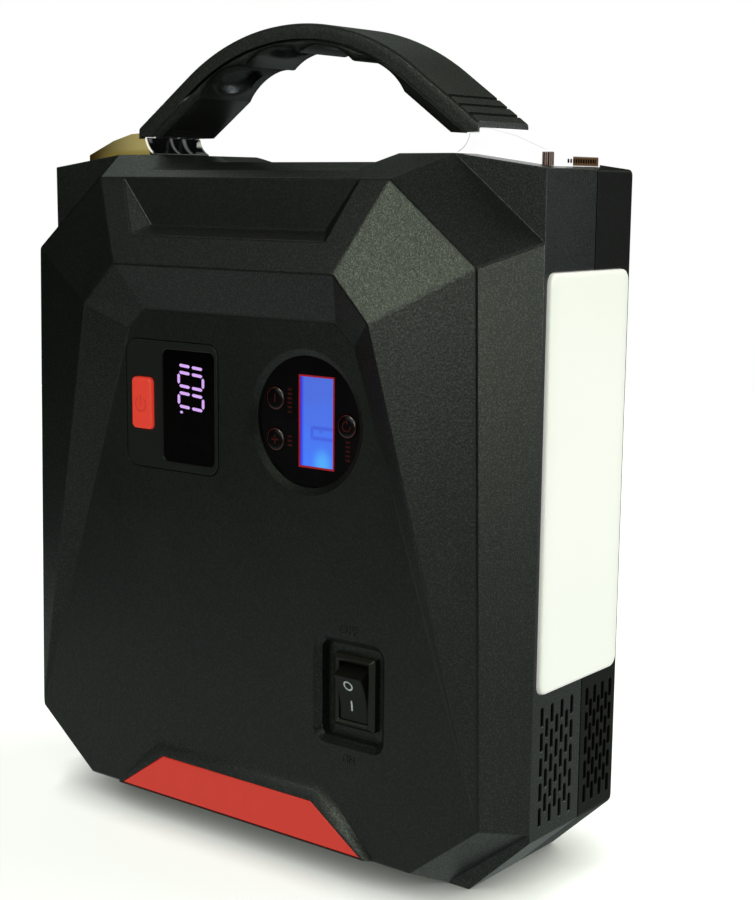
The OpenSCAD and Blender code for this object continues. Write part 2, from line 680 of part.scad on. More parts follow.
module handle_block() {
    inner_x = leg_foot_x - 2.7;
    outer_x = grip_end + block_l;
    top_in = grip_foot_z + 0.9;
    pts = [[inner_x, body_h], [shoulder_w / 2, body_h], [outer_x, roof_z(outer_x)],
        [outer_x, roof_z(outer_x) + 4], [grip_end + 12, grip_foot_z - 1.1], [grip_end + 4, top_in],
        [grip_end + 0.25, top_in + 0.2], [grip_end + 0.25, grip_foot_z - 0.15], [inner_x,
            grip_foot_z - 0.15]];
    difference() {
        prism_y(pts, core_mid_y - block_w / 2, core_mid_y + block_w / 2);
        bar_y(leg_foot_x - 4.9, grip_foot_z + 0.6, 6, -50, 50);
        for (dy = handle_screw_ys)
            bar_z(handle_screw_x, core_mid_y + dy, block_hole_r, body_h - 6, grip_foot_z - 1.6);
    }
    difference() {
        tongue(0);
        box(grip_end - 40, grip_end + 20, -50, 50, 0, grip_foot_z - 0.4);
    }
}
module handle_block_right() {
    color("#d8dade") handle_block();
}
module handle_block_left() {
    color("#d8dade") mirror([1, 0, 0]) handle_block();
}
module handle_screws() {
    color("#8a8d90") for (sx = [-1, 1], dy = handle_screw_ys) {
        bar_z(sx * handle_screw_x, core_mid_y + dy, 1.92, handle_pad_z - eps, grip_foot_z - 2.2);
        bar_z(sx * handle_screw_x, core_mid_y + dy, 3.4, handle_pad_z - 2.6, handle_pad_z);
    }
}

// ---- power panel ----
button_x = panel_x - 11.7;
window_x = panel_x + 6.7;
module power_panel() {
    color("#1f2122") difference() {
        plate_y(panel_x, display_z, panel_w, panel_h, panel_r - fit, face_y, face_y + panel_t);
        plate_y(button_x, display_z, button_w + 2 * key_gap, button_h + 2 * key_gap, 1.6, face_y - 1,
            face_y + 3);
        plate_y(window_x, display_z, window_w, window_h, 2, face_y - 1, face_y + 3);
    }
}
module power_button() {
    color("#d8443e") {
        plate_y(button_x, display_z, button_w, button_h, 1.5, face_y - 0.8, face_y + 2);
        plate_y(button_x, display_z, button_w + 1.6, button_h + 1.6, 1.6, face_y + panel_t + 0.1,
            face_y + 2.5);
        bar_y(button_x, display_z, 1.5, face_y + 2, face_y + 2.9);
    }
}
module display_window() {
    color("#121014") {
        plate_y(window_x, display_z, window_w - 0.2, window_h - 0.2, 1.9, face_y + 0.35,
            face_y + panel_t + eps);
        plate_y(window_x, display_z, window_w + 0.6, window_h + 1.2, 2, face_y + panel_t, face_y + 2.6);
    }
}
digit_pitch = 6;
digit_h = 10.54;
digit_w = 3.94;
bar_t = 0.8;
// One seven-segment figure, read with the pack on its right side; each entry of on lights one bar
module digit(on) {
    h = digit_h / 2 - bar_t / 2;
    w = digit_w / 2;
    len_h = digit_h / 2 - bar_t - 0.5;
    len_w = digit_w - bar_t - 0.3;
    // bars across the figure, at its top, middle and foot
    for (k = [0:2]) if (on[k]) translate([h * (1 - k), 0]) square([bar_t, len_w], center = true);
    // upright bars: right top, right foot, left top, left foot
    for (k = [0:1], s = [0:1]) if (on[3 + 2 * s + k])
        translate([(k == 0 ? 1 : -1) * h / 2, (s == 0 ? -1 : 1) * w]) square([len_h, bar_t], center = true);
}
figures = [[0, 0, 0, 1, 1, 0, 0], [1, 0, 1, 1, 1, 1, 1], [1, 0, 1, 1, 1, 1, 1]];
module display_digits() {
    color("#dcaefa") translate([window_x + 1.05, face_y + 0.35, display_z + 7.95]) rotate([90, 0, 0])
        linear_extrude(0.2) {
            for (i = [0:2]) translate([0, 6 - digit_pitch * i]) digit(figures[i]);
            translate([1.48 - digit_h / 2, 6 - digit_pitch * 2.625]) square([1, 0.8], center = true);
        }
}
module display_module() {
    color("#e8e8e2") box(window_x - 9.6, window_x + 9.6, face_y + 2.7, display_board_y, display_z - 15.4,
        display_z + 15.4);
}
module board_hole(x, z, y) {
    bar_y(x, z, 1.1, y - 1, y + 3);
}
module display_board() {
    color("#1f6b3a") difference() {
        plate_y(panel_x, display_z, 39.6, 46, 1.5, display_board_y, display_board_y + 1.6);
        for (sx = [-1, 1], sz = [-1, 1])
            board_hole(panel_x + sx * board_post_x, display_z + sz * board_post_z, display_board_y);
    }
}
module tact(x, z, y, h) {
    box(x - 3, x + 3, y - h, y, z - 3, z + 3);
}
module power_switch() {
    color("#3a3a3c") tact(button_x, display_z, display_board_y, 3.9);
}

// ---- inflator panel ----
gauge_y = face_y + gauge_sink;
lcd_x = gauge_x + 2.5;
// Keys: offset from the middle of the round panel
minus_at = [-12.2, 5.6];
plus_at = [-12.2, -6];
mode_at = [13.5, 0];
key_flange_r = key_d / 2 + 0.4;
module gauge_face() {
    color("#0d0c10") difference() {
        bar_y(gauge_x, display_z, gauge_r, gauge_y, gauge_ledge_y);
        box(lcd_x - lcd_w / 2, lcd_x + lcd_w / 2, gauge_y - 1, gauge_y + 5, display_z - lcd_h / 2,
            display_z + lcd_h / 2);
        for (k = [minus_at, plus_at, mode_at])
            bar_y(gauge_x + k.x, display_z + k.y, key_d / 2 + key_gap, gauge_y - 1, gauge_y + 5);
    }
}
lcd_frame_w = 0.5;
module lcd_frame() {
    color("#c8453f") difference() {
        box(lcd_x - lcd_w / 2 + 0.05, lcd_x + lcd_w / 2 - 0.05, gauge_y - 0.1, gauge_y + 1,
            display_z - lcd_h / 2 + 0.05, display_z + lcd_h / 2 - 0.05);
        box(lcd_x - lcd_w / 2 + lcd_frame_w, lcd_x + lcd_w / 2 - lcd_frame_w, gauge_y - 1, gauge_y + 2,
            display_z - lcd_h / 2 + lcd_frame_w, display_z + lcd_h / 2 - lcd_frame_w);
    }
}
module lcd_screen() {
    color("#5a78ff") {
        box(lcd_x - lcd_w / 2 + lcd_frame_w + 0.05, lcd_x + lcd_w / 2 - lcd_frame_w - 0.05,
            gauge_y + 0.1, gauge_y + 2,
            display_z - lcd_h / 2 + lcd_frame_w + 0.05, display_z + lcd_h / 2 - lcd_frame_w - 0.05);
        box(lcd_x - lcd_w / 2 + 0.1, lcd_x + lcd_w / 2 - 0.1, gauge_y + 1.1, gauge_board_y,
            display_z - lcd_h / 2 + 0.1,
            display_z + lcd_h / 2 - 0.1);
    }
}
// A round key with a collar behind the panel and a stem for its switch
module key_cap(at) {
    x = gauge_x + at.x;
    z = display_z + at.y;
    bar_y(x, z, key_d / 2, gauge_y - 0.6, gauge_ledge_y + 0.2);
    bar_y(x, z, key_flange_r, gauge_ledge_y + 0.15, gauge_ledge_y + 0.9);
    bar_y(x, z, 1.4, gauge_ledge_y + 0.8, gauge_ledge_y + 2.2);
}
module minus_key() {
    color("#17151a") key_cap(minus_at);
}
module plus_key() {
    color("#17151a") key_cap(plus_at);
}
module mode_key() {
    color("#17151a") key_cap(mode_at);
}
module gauge_board() {
    color("#1f6b3a") difference() {
        plate_y(gauge_x, display_z, 45, 45, 1.5, gauge_board_y, gauge_board_y + 1.6);
        for (sx = [-1, 1], sz = [-1, 1])
            board_hole(gauge_x + sx * gauge_post, display_z + sz * gauge_post, gauge_board_y);
    }
}
module key_switches() {
    color("#3a3a3c") for (k = [minus_at, plus_at, mode_at])
        tact(gauge_x + k.x, display_z + k.y, gauge_board_y,
            gauge_board_y - gauge_ledge_y - 2.2 - 0.1 - key_travel);
}
module board_screw(x, z, y) {
    bar_y(x, z, 0.8, y - 4.6, y + 1.6 + eps);
    bar_y(x, z, 1.9, y + 1.6, y + 3);
}
module board_screws() {
    color("#8a8d90") for (sx = [-1, 1], sz = [-1, 1]) {
        board_screw(panel_x + sx * board_post_x, display_z + sz * board_post_z, display_board_y);
        board_screw(gauge_x + sx * gauge_post, display_z + sz * gauge_post, gauge_board_y);
    }
}

// ---- master switch ----
bezel_y = well_floor_y - bezel_t;
// Pivot of the rocker behind the bezel, and the paddle's corner from the pivot
pivot_y = bezel_y + 4.96;
corner_y = 6.8;
corner_z = 6.85;
rocker_w = 9.9;
pocket_w = rocker_w + 0.4;
pocket_h = 17;
// Height of the bezel's ridge, and how far its crest stands from the pocket
ridge_rise = 0.8;
ridge_in = 0.8;
function switch_rect(w, h) = [for (c = [[-1, -1], [1, -1], [1, 1], [-1, 1]])
    [switch_x + c[0] * w / 2, switch_z + c[1] * h / 2]];
pin_r = 1.2;
module switch_housing() {
    color("#1c1d1e") difference() {
        union() {
            plate_y(switch_x, switch_z, bezel_w, bezel_h, 0.6, bezel_y, well_floor_y);
            loft_y(switch_rect(pocket_w + 2 * ridge_in, pocket_h + 2 * ridge_in), bezel_y - ridge_rise,
                switch_rect(bezel_w - 0.6, bezel_h - 0.6), bezel_y + eps);
            box(switch_x - 6.45, switch_x + 6.45, well_floor_y - eps, well_floor_y + 15, switch_z - 9.55,
                switch_z + 9.55);
        }
        loft_y(switch_rect(pocket_w + 2 * ridge_in, pocket_h + 2 * ridge_in), bezel_y - ridge_rise - 0.01,
            switch_rect(pocket_w, pocket_h), bezel_y - ridge_rise / 2);
        box(switch_x - pocket_w / 2, switch_x + pocket_w / 2, bezel_y - 1, pivot_y + 7.6,
            switch_z - pocket_h / 2,
            switch_z + pocket_h / 2);
        bar_x(pivot_y, switch_z, pin_r + run_gap, switch_x - 7, switch_x + 7);
        for (s = [-1, 1]) box(switch_x - 2.6, switch_x + 2.6, well_floor_y + 10, well_floor_y + 16,
            switch_z + s * 4.5 - 0.45, switch_z + s * 4.5 + 0.45);
    }
}
module switch_rocker() {
    dish_r = 24;
    color("#202122") translate([switch_x, pivot_y, switch_z]) rotate([rocker_swing, 0, 0]) {
        difference() {
            translate([-rocker_w / 2, 0, 0]) rotate([90, 0, 90]) linear_extrude(rocker_w)
                polygon([[-corner_y, -corner_z], [-1, -8.15], [2.4, -7.2], [3.4, -3], [3.4, 3], [2.4,
                    7.2], [-1, 8.15],
                    [-corner_y, corner_z]]);
            // shallow dish across the paddle
            bar_x(-corner_y - sqrt(dish_r * dish_r - corner_z * corner_z), 0, dish_r, -10, 10);
        }
        bar_x(0, 0, pin_r, -6.4, 6.4);
    }
}
module switch_terminals() {
    color("#c9a24a") for (s = [-1, 1])
        box(switch_x - 2.4, switch_x + 2.4, well_floor_y + 12, well_floor_y + 22, switch_z + s * 4.5 - 0.4,
            switch_z + s * 4.5 + 0.4);
}

// ---- warning light ----
module warning_lens() {
    color("#d8443e") prism_y(inset(light_pts, 0.4), face_y - light_relief, face_y + 1.2);
}
module warning_board() {
    color("#1f6b3a") box(-light_top_w / 2 + 1, light_top_w / 2 - 1, warning_board_y,
        warning_board_y + 1.6, 10.2, 18.4);
}
module warning_leds() {
    color("#f3e6a8") for (i = [-2:2])
        box(i * 10 - 1.7, i * 10 + 1.7, warning_board_y - 1.9, warning_board_y, 12.6, 15.9);
}

// ---- side lamp ----
lamp_wall = 1.5;
lamp_back_x = half_w - 12;
module lamp_lens() {
    color("#eef3e6") difference() {
        union() {
            plate_x(core_mid_y, lamp_z, lamp_w, lamp_h, lamp_r, half_w - lamp_step, half_w + side_proud);
            plate_x(core_mid_y, lamp_z, lamp_w - 4.4, lamp_h - 4.4, lamp_r - 1, half_w - wall,
                half_w - lamp_step + eps);
        }
        plate_x(core_mid_y, lamp_z, lamp_w - 8, lamp_h - 8, lamp_r - 1, half_w - wall - 1,
            half_w - lamp_step + 0.8);
    }
}
module lamp_reflector() {
    color("#f4f4f2") difference() {
        plate_x(core_mid_y, lamp_z, lamp_w - 2, lamp_h - 2, 2, lamp_back_x, half_w - wall - 0.1);
        plate_x(core_mid_y, lamp_z, lamp_w - 2 - 2 * lamp_wall, lamp_h - 2 - 2 * lamp_wall, 1.5,
            lamp_back_x + 1.2,
            half_w);
    }
}
module lamp_board() {
    color("#dfe3e6") box(lamp_back_x + 1.2, lamp_back_x + 2.8, core_mid_y - lamp_w / 2 + 3,
        core_mid_y + lamp_w / 2 - 3,
        lamp_z - lamp_h / 2 + 4, lamp_z + lamp_h / 2 - 4);
}
module lamp_leds() {
    color("#f3e6a8") for (s = [-1, 1], k = [-5.5:1:5.5])
        box(lamp_back_x + 2.8, lamp_back_x + 3.6, core_mid_y + s * 8.5 - 1.75, core_mid_y + s * 8.5 + 1.75,
            lamp_z + k * 8.4 - 1.75, lamp_z + k * 8.4 + 1.75);
}

// ---- battery ----
cell_y = core_mid_y + 6;
cells = [-1.5, -0.5, 0.5, 1.5];
module battery_cells() {
    color("#3d6fb4") for (i = cells) {
        bar_z(i * cell_pitch, cell_y, cell_d / 2, cell_z, cell_z + cell_l - 0.8);
        bar_z(i * cell_pitch, cell_y, 5, cell_z + cell_l - 0.9, cell_z + cell_l);
    }
}
holder_h = 8;
module battery_holder(z) {
    hx = 1.5 * cell_pitch + cell_d / 2 + 3;
    difference() {
        box(-hx, hx, cell_y - cell_d / 2 - 3, back_y - wall - 0.1, z, z + holder_h);
        for (i = cells) bar_z(i * cell_pitch, cell_y, cell_d / 2 + 0.1, z - 1, z + holder_h + 1);
    }
}
module battery_lower_holder() {
    color("#1b1b1d") battery_holder(cell_z);
}
module battery_upper_holder() {
    color("#1b1b1d") battery_holder(cell_z + cell_l - holder_h);
}
// Nickel strips that join the cells in series
module battery_busbars() {
    color("#c9ccd0") {
        for (i = [-1, 1]) box(i * cell_pitch - cell_pitch / 2 - 5, i * cell_pitch + cell_pitch / 2 + 5,
            cell_y - 4,
            cell_y + 4, cell_z - 0.4, cell_z);
        box(-cell_pitch / 2 - 5, cell_pitch / 2 + 5, cell_y - 4, cell_y + 4, cell_z + cell_l,
            cell_z + cell_l + 0.4);
        mirror_x() box(1.5 * cell_pitch - 5, 1.5 * cell_pitch + 5, cell_y - 4, cell_y + 4, cell_z + cell_l,
            cell_z + cell_l + 0.4);
    }
}
module protection_board() {
    z = cell_z + cell_l + 3;
    color("#1f6b3a") {
        box(-55, 55, cell_y - 14, cell_y + 12, z, z + 1.6);
        for (i = [-2.5:1:2.5]) box(i * 16 - 5, i * 16 + 5, cell_y - 11, cell_y - 6, z + 1.5, z + 5.6);
        for (sx = [-1, 1], dy = [-12, 10]) bar_z(sx * 45, cell_y + dy, 2, cell_z + cell_l, z + eps);
    }
}

// ---- inflator pump ----
pump_y = core_mid_y + 5.6;
motor_x0 = 22;
motor_x1 = 74;
shaft_r = 1.58;
pinion_x0 = 7.6;
pinion_x1 = 15.6;
gear_x0 = 8.8;
gear_x1 = 14.4;
gear_z = shaft_z + tooth * (pinion_teeth + crank_teeth) / 2 + 0.15;
axle_r = 2.5;
crank_r = stroke / 2;
rod_x = 0;
rod_half = 2.6;
crank_pin_r = 2;
piston_z = gear_z - crank_r + 34;
cylinder_z0 = piston_z - 3;
cylinder_z1 = piston_z + 6 + stroke + 0.6;
module pump_motor() {
    color("#9aa0a4") difference() {
        union() {
            bar_x(pump_y, shaft_z, motor_d / 2, motor_x0, motor_x1);
            bar_x(pump_y, shaft_z, 6.4, motor_x0 - 2.4, motor_x1 + 2.4);
        }
        bar_x(pump_y, shaft_z, shaft_r + run_gap, motor_x0 - 4, motor_x1 + 4);
    }
}
frame_x0 = 17.8;
frame_x1 = 21.9;
module pump_frame() {
    color("#b9bcbf") difference() {
        union() {
            // upright plate on a foot
            box(frame_x0, frame_x1, pump_y - 19, core_back_y - 0.5, wall, cylinder_z0 + 6);
            box(frame_x0 - 24, frame_x1, pump_y - 19, core_back_y - 0.5, wall, wall + 3.5);
            // shelf that carries the cylinder
            box(-16, frame_x1, pump_y - 16, pump_y + 16, cylinder_z0 + 2, cylinder_z0 + 6);
            // axle of the crank gear
            bar_x(pump_y, gear_z, axle_r, gear_x0 - 1, frame_x1);
        }
        bar_x(pump_y, shaft_z, 6.5, frame_x0 - 1, frame_x1 + 1);
        bar_z(rod_x, pump_y, pump_bore / 2 + 2.05, cylinder_z0 - 1, cylinder_z0 + 8);
    }
}
module motor_shaft() {
    color("#c3c7ca") bar_x(pump_y, shaft_z, shaft_r, 6.8, 84);
}
// Outline of a gear with straight-flanked teeth
function gear_pts(n, turn) = let(r = tooth * n / 2, a = 360 / n)
    [for (i = [0:n - 1], q = [[-0.29, -1.15], [-0.12, 0.82], [0.12, 0.82], [0.29, -1.15]])
        let(t = turn + (i + q[0]) * a, d = r + q[1] * tooth) [d * cos(t), d * sin(t)]];
module gear(n, turn, x0, x1) {
    translate([x0, 0, 0]) rotate([90, 0, 90]) linear_extrude(x1 - x0) polygon(gear_pts(n, turn));
}
module motor_pinion() {
    color("#c9a24a") translate([0, pump_y, shaft_z]) difference() {
        gear(pinion_teeth, 90, pinion_x0, pinion_x1);
        bar_x(0, 0, shaft_r, pinion_x0 - 1, pinion_x1 + 1);
    }
}
fan_blades = 7;
fan_x0 = 78;
fan_x1 = 84;
fan_r = 14.5;
module cooling_fan() {
    color("#2b2c2e") translate([0, pump_y, shaft_z]) difference() {
        union() {
            bar_x(0, 0, 4, fan_x0, fan_x1);
            for (i = [0:fan_blades - 1]) rotate([360 / fan_blades * i, 0, 0])
                translate([(fan_x0 + fan_x1) / 2, 0, fan_r / 2 + 1.4]) rotate([0, 0, 35])
                    cube([1, 5.6, fan_r - 2.8], center = true);
        }
        bar_x(0, 0, shaft_r, fan_x0 - 1, fan_x1 + 1);
    }
}
module crank_gear() {
    color("#d9d4c4") difference() {
        union() {
            translate([0, pump_y, gear_z]) gear(crank_teeth, -90 + 180 / crank_teeth, gear_x0, gear_x1);
            // crank pin, short of the rod so that the open linkage never touches
            bar_x(pump_y, gear_z - crank_r, crank_pin_r, rod_x + rod_half + 0.6, gear_x0 + 1);
        }
        bar_x(pump_y, gear_z, axle_r + run_gap, gear_x0 + 0.6, gear_x1 + 1);
        bar_x(pump_y, gear_z, axle_r + 0.4, gear_x0 - 1.6, gear_x0 + 0.7);
    }
}
module piston_rod() {
    eye_z = gear_z - crank_r;
    color("#a9aeb2") difference() {
        union() {
            bar_x(pump_y, eye_z, 4.6, rod_x - rod_half, rod_x + rod_half);
            box(rod_x - rod_half, rod_x + rod_half, pump_y - 2.6, pump_y + 2.6, eye_z, piston_z + 1);
            bar_z(rod_x, pump_y, pump_bore / 2 - 0.06, piston_z, piston_z + 6);
        }
        bar_x(pump_y, eye_z, crank_pin_r + 0.1, rod_x - 5, rod_x + 5);
    }
}
module pump_cylinder() {
    color("#c3c6c9") difference() {
        union() {
            bar_z(rod_x, pump_y, pump_bore / 2 + 2, cylinder_z0, cylinder_z1);
            bar_z(rod_x, pump_y, pump_bore / 2 + 5, cylinder_z0 + 6, cylinder_z0 + 7.6);
            for (k = [0:2]) bar_z(rod_x, pump_y, pump_bore / 2 + 4.4, cylinder_z0 + 10 + 3.4 * k,
                cylinder_z0 + 11.4 + 3.4 * k);
        }
        bar_z(rod_x, pump_y, pump_bore / 2, cylinder_z0 - 1, cylinder_z1 + 1);
    }
}
head_h = 6;
module cylinder_head() {
    color("#8d9296") difference() {
        union() {
            bar_z(rod_x, pump_y, pump_bore / 2 + 4.4, cylinder_z1, cylinder_z1 + head_h);
            bar_x(pump_y, cylinder_z1 + 3, 2.2, rod_x - pump_bore / 2 - 10, rod_x);
        }
        bar_x(pump_y, cylinder_z1 + 3, 1, rod_x - pump_bore / 2 - 11, rod_x);
    }
}

// ---- ports on the left side ----
port_x = -half_w;
outlet_z = port_z + 22;
hose_r = 3.2;
hose_bend = 9;
// Air hose from the cylinder head to the outlet: a run to the left, then down
module outlet_hose() {
    x_in = rod_x - pump_bore / 2 - 6;
    x_turn = port_x + 22;
    z_top = cylinder_z1 + 3;
    dz = z_top - outlet_z - 2 * hose_bend;
    color("#161719") difference() {
        union() {
            bar_x(pump_y, z_top, hose_r, x_turn + hose_bend, x_in);
            translate([x_turn + hose_bend, pump_y, z_top - hose_bend]) rotate([90, 0, 0])
                rotate([0, 0, 90]) rotate_extrude(angle = 90) translate([hose_bend, 0]) circle(hose_r,
                    $fn = 32);
            if (dz > 0) bar_z(x_turn, pump_y, hose_r, outlet_z + hose_bend, z_top - hose_bend);
            translate([x_turn - hose_bend, pump_y, outlet_z + hose_bend + (dz > 0 ? 0 : dz)]) rotate([90,
                0, 0])
                rotate([0, 0, -90]) rotate_extrude(angle = 90) translate([hose_bend, 0]) circle(hose_r,
                    $fn = 32);
            bar_x(pump_y, outlet_z, hose_r, port_x + 6.2, x_turn - hose_bend);
        }
        bar_x(pump_y, z_top, 2.25, x_in - 6, x_in + 1);
        bar_x(pump_y, outlet_z, 2.65, port_x + 5, port_x + 12.8);
    }
}
module air_outlet() {
    color("#c9a24a") difference() {
        union() {
            bar_x(pump_y, outlet_z, 4.2, port_x - side_proud, port_x + 3.4);
            bar_x(pump_y, outlet_z, 6, port_x + wall + 0.7, port_x + 5.4);
            bar_x(pump_y, outlet_z, 2.6, port_x + 5, port_x + 12.6);
        }
        bar_x(pump_y, outlet_z, 1.9, port_x - side_proud - 1, port_x + 13);
    }
}
jump_z = port_z - 16;
usb_y = core_mid_y - 7;
usb_zs = [port_z + 5, port_z + 16];
jack_z = port_z + 2;
jack_y = core_mid_y + 9;
module port_plate() {
    color("#1b1c1e") difference() {
        union() {
            plate_x(core_mid_y, port_z, port_w, port_h, 3, port_x - side_proud, port_x + lamp_step);
            plate_x(core_mid_y, port_z, port_w - 4.4, port_h - 4.4, 2, port_x + lamp_step - eps,
                port_x + wall + 0.6);
        }
        plate_x(core_mid_y, jump_z, 25.4, 15.4, 1.5, port_x - 2, port_x + 5);
        for (z = usb_zs) plate_x(usb_y, z, 13.5, 6.1, 0.6, port_x - 2, port_x + 5);
        bar_x(jack_y, jack_z, 4.6, port_x - 2, port_x + 5);
        bar_x(pump_y, outlet_z, 4.26, port_x - 2, port_x + 5);
    }
}
jump_pitch = 11.5;
module jump_socket() {
    color("#2f5fa8") difference() {
        union() {
            plate_x(core_mid_y, jump_z, 25, 15, 1.4, port_x - side_proud + 0.4, port_x + 20);
            plate_x(core_mid_y, jump_z, 29, 19, 1.4, port_x + wall + 0.7, port_x + 5.4);
        }
        for (s = [-1, 1]) bar_x(core_mid_y + s * jump_pitch / 2, jump_z, 4.2, port_x - 2, port_x + 21);
    }
}
module jump_contacts() {
    color("#d2ac55") for (s = [-1, 1]) difference() {
        bar_x(core_mid_y + s * jump_pitch / 2, jump_z, 4.15, port_x + 0.6, port_x + 22);
        bar_x(core_mid_y + s * jump_pitch / 2, jump_z, 3.2, port_x - 1, port_x + 14);
    }
}
module usb_sockets() {
    color("#c3c6c9") for (z = usb_zs) difference() {
        plate_x(usb_y, z, 13.1, 5.7, 0.5, port_x - side_proud + 0.4, port_x + 14);
        plate_x(usb_y, z, 12.4, 5, 0.4, port_x - 3, port_x + 12.6);
    }
}
module usb_tongues() {
    color("#f0f0ee") for (z = usb_zs) box(port_x + 1, port_x + 12.6, usb_y - 5.6, usb_y + 5.6, z + 0.3,
        z + 2);
}
module charge_jack() {
    color("#19191b") {
        difference() {
            bar_x(jack_y, jack_z, 4.5, port_x - side_proud + 0.4, port_x + 12);
            bar_x(jack_y, jack_z, 2.8, port_x - 3, port_x + 10);
        }
        bar_x(jack_y, jack_z, 1.05, port_x + 1, port_x + 10.5);
    }
}
module port_board() {
    x = port_x + 14;
    color("#1f6b3a") difference() {
        box(x, x + 1.6, core_mid_y - 16, core_mid_y + 16, port_z - 5.5, port_z + 20.5);
        bar_x(pump_y, outlet_z, 8, x - 1, x + 3);
    }
}
relay_x = -37;
module start_relay() {
    color("#2c2d30") {
        box(relay_x - 14, relay_x + 14, core_mid_y - 14, core_mid_y + 14, wall, wall + 32);
        for (s = [-1, 1]) bar_z(relay_x + s * 7, core_mid_y, 2, wall + 31, wall + 38);
    }
}

front_shell();
rear_shell();
shell_screws();
handle_grip();
handle_block_left();
handle_block_right();
handle_screws();
power_panel();
power_button();
display_window();
display_digits();
display_module();
display_board();
power_switch();
gauge_face();
lcd_frame();
lcd_screen();
minus_key();
plus_key();
mode_key();
gauge_board();
key_switches();
board_screws();
switch_housing();
switch_rocker();
switch_terminals();
warning_lens();
warning_board();
warning_leds();
lamp_lens();
lamp_reflector();
lamp_board();
lamp_leds();
battery_cells();
battery_lower_holder();
battery_upper_holder();
battery_busbars();
protection_board();
pump_motor();
pump_frame();
motor_shaft();
motor_pinion();
cooling_fan();
crank_gear();
piston_rod();
pump_cylinder();
cylinder_head();
outlet_hose();
air_outlet();
port_plate();
jump_socket();
jump_contacts();
usb_sockets();
usb_tongues();
charge_jack();
port_board();
start_relay();
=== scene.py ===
import json
import math
import bmesh
import bpy
import numpy as np
from mathutils import Matrix, Vector

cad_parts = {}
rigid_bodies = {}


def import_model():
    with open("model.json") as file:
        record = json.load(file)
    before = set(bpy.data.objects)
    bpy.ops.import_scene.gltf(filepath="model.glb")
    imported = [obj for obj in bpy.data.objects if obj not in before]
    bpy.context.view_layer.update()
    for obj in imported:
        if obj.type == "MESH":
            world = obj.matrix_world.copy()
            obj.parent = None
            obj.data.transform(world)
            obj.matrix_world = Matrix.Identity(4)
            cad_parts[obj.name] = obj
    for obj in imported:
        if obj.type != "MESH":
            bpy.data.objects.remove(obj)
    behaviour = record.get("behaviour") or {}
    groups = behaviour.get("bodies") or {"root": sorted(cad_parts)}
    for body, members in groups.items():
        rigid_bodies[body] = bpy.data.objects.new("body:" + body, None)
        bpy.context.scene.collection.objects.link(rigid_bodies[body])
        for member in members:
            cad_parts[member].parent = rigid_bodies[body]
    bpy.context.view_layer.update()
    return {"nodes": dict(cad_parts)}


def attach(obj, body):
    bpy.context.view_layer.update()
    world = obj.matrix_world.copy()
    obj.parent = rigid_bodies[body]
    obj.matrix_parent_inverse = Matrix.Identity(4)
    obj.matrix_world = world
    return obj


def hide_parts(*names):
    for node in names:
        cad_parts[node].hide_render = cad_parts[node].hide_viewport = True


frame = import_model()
world_objects = bpy.context.scene.collection.objects

# ---- camera and studio ----
# A long lens at the height of the handle looks down a little on the front and the lamp side.
# The pack stands on a white table under large soft lights, with white paper all round it.
yaw, pitch, roll = math.radians(37.915), math.radians(9.847), math.radians(0.546)
forward = Vector((-math.sin(yaw) * math.cos(pitch), math.cos(yaw) * math.cos(pitch), -math.sin(pitch)))
level = Vector((math.cos(yaw), math.sin(yaw), 0))
upright = level.cross(forward)
right = math.cos(roll) * level + math.sin(roll) * upright
top = math.cos(roll) * upright - math.sin(roll) * level
camera = bpy.data.objects.new("camera", bpy.data.cameras.new("camera"))
world_objects.link(camera)
camera_place = (0.316535, -0.37105, 0.19237)
camera.matrix_world = Matrix.Translation(camera_place) @ Matrix((right, top, -forward)).transposed().to_4x4()
camera.data.lens = 65.95
camera.data.shift_x = 0.0023
camera.data.shift_y = 0.0255
bpy.context.scene.camera = camera
bpy.context.scene.view_settings.view_transform = "Standard"


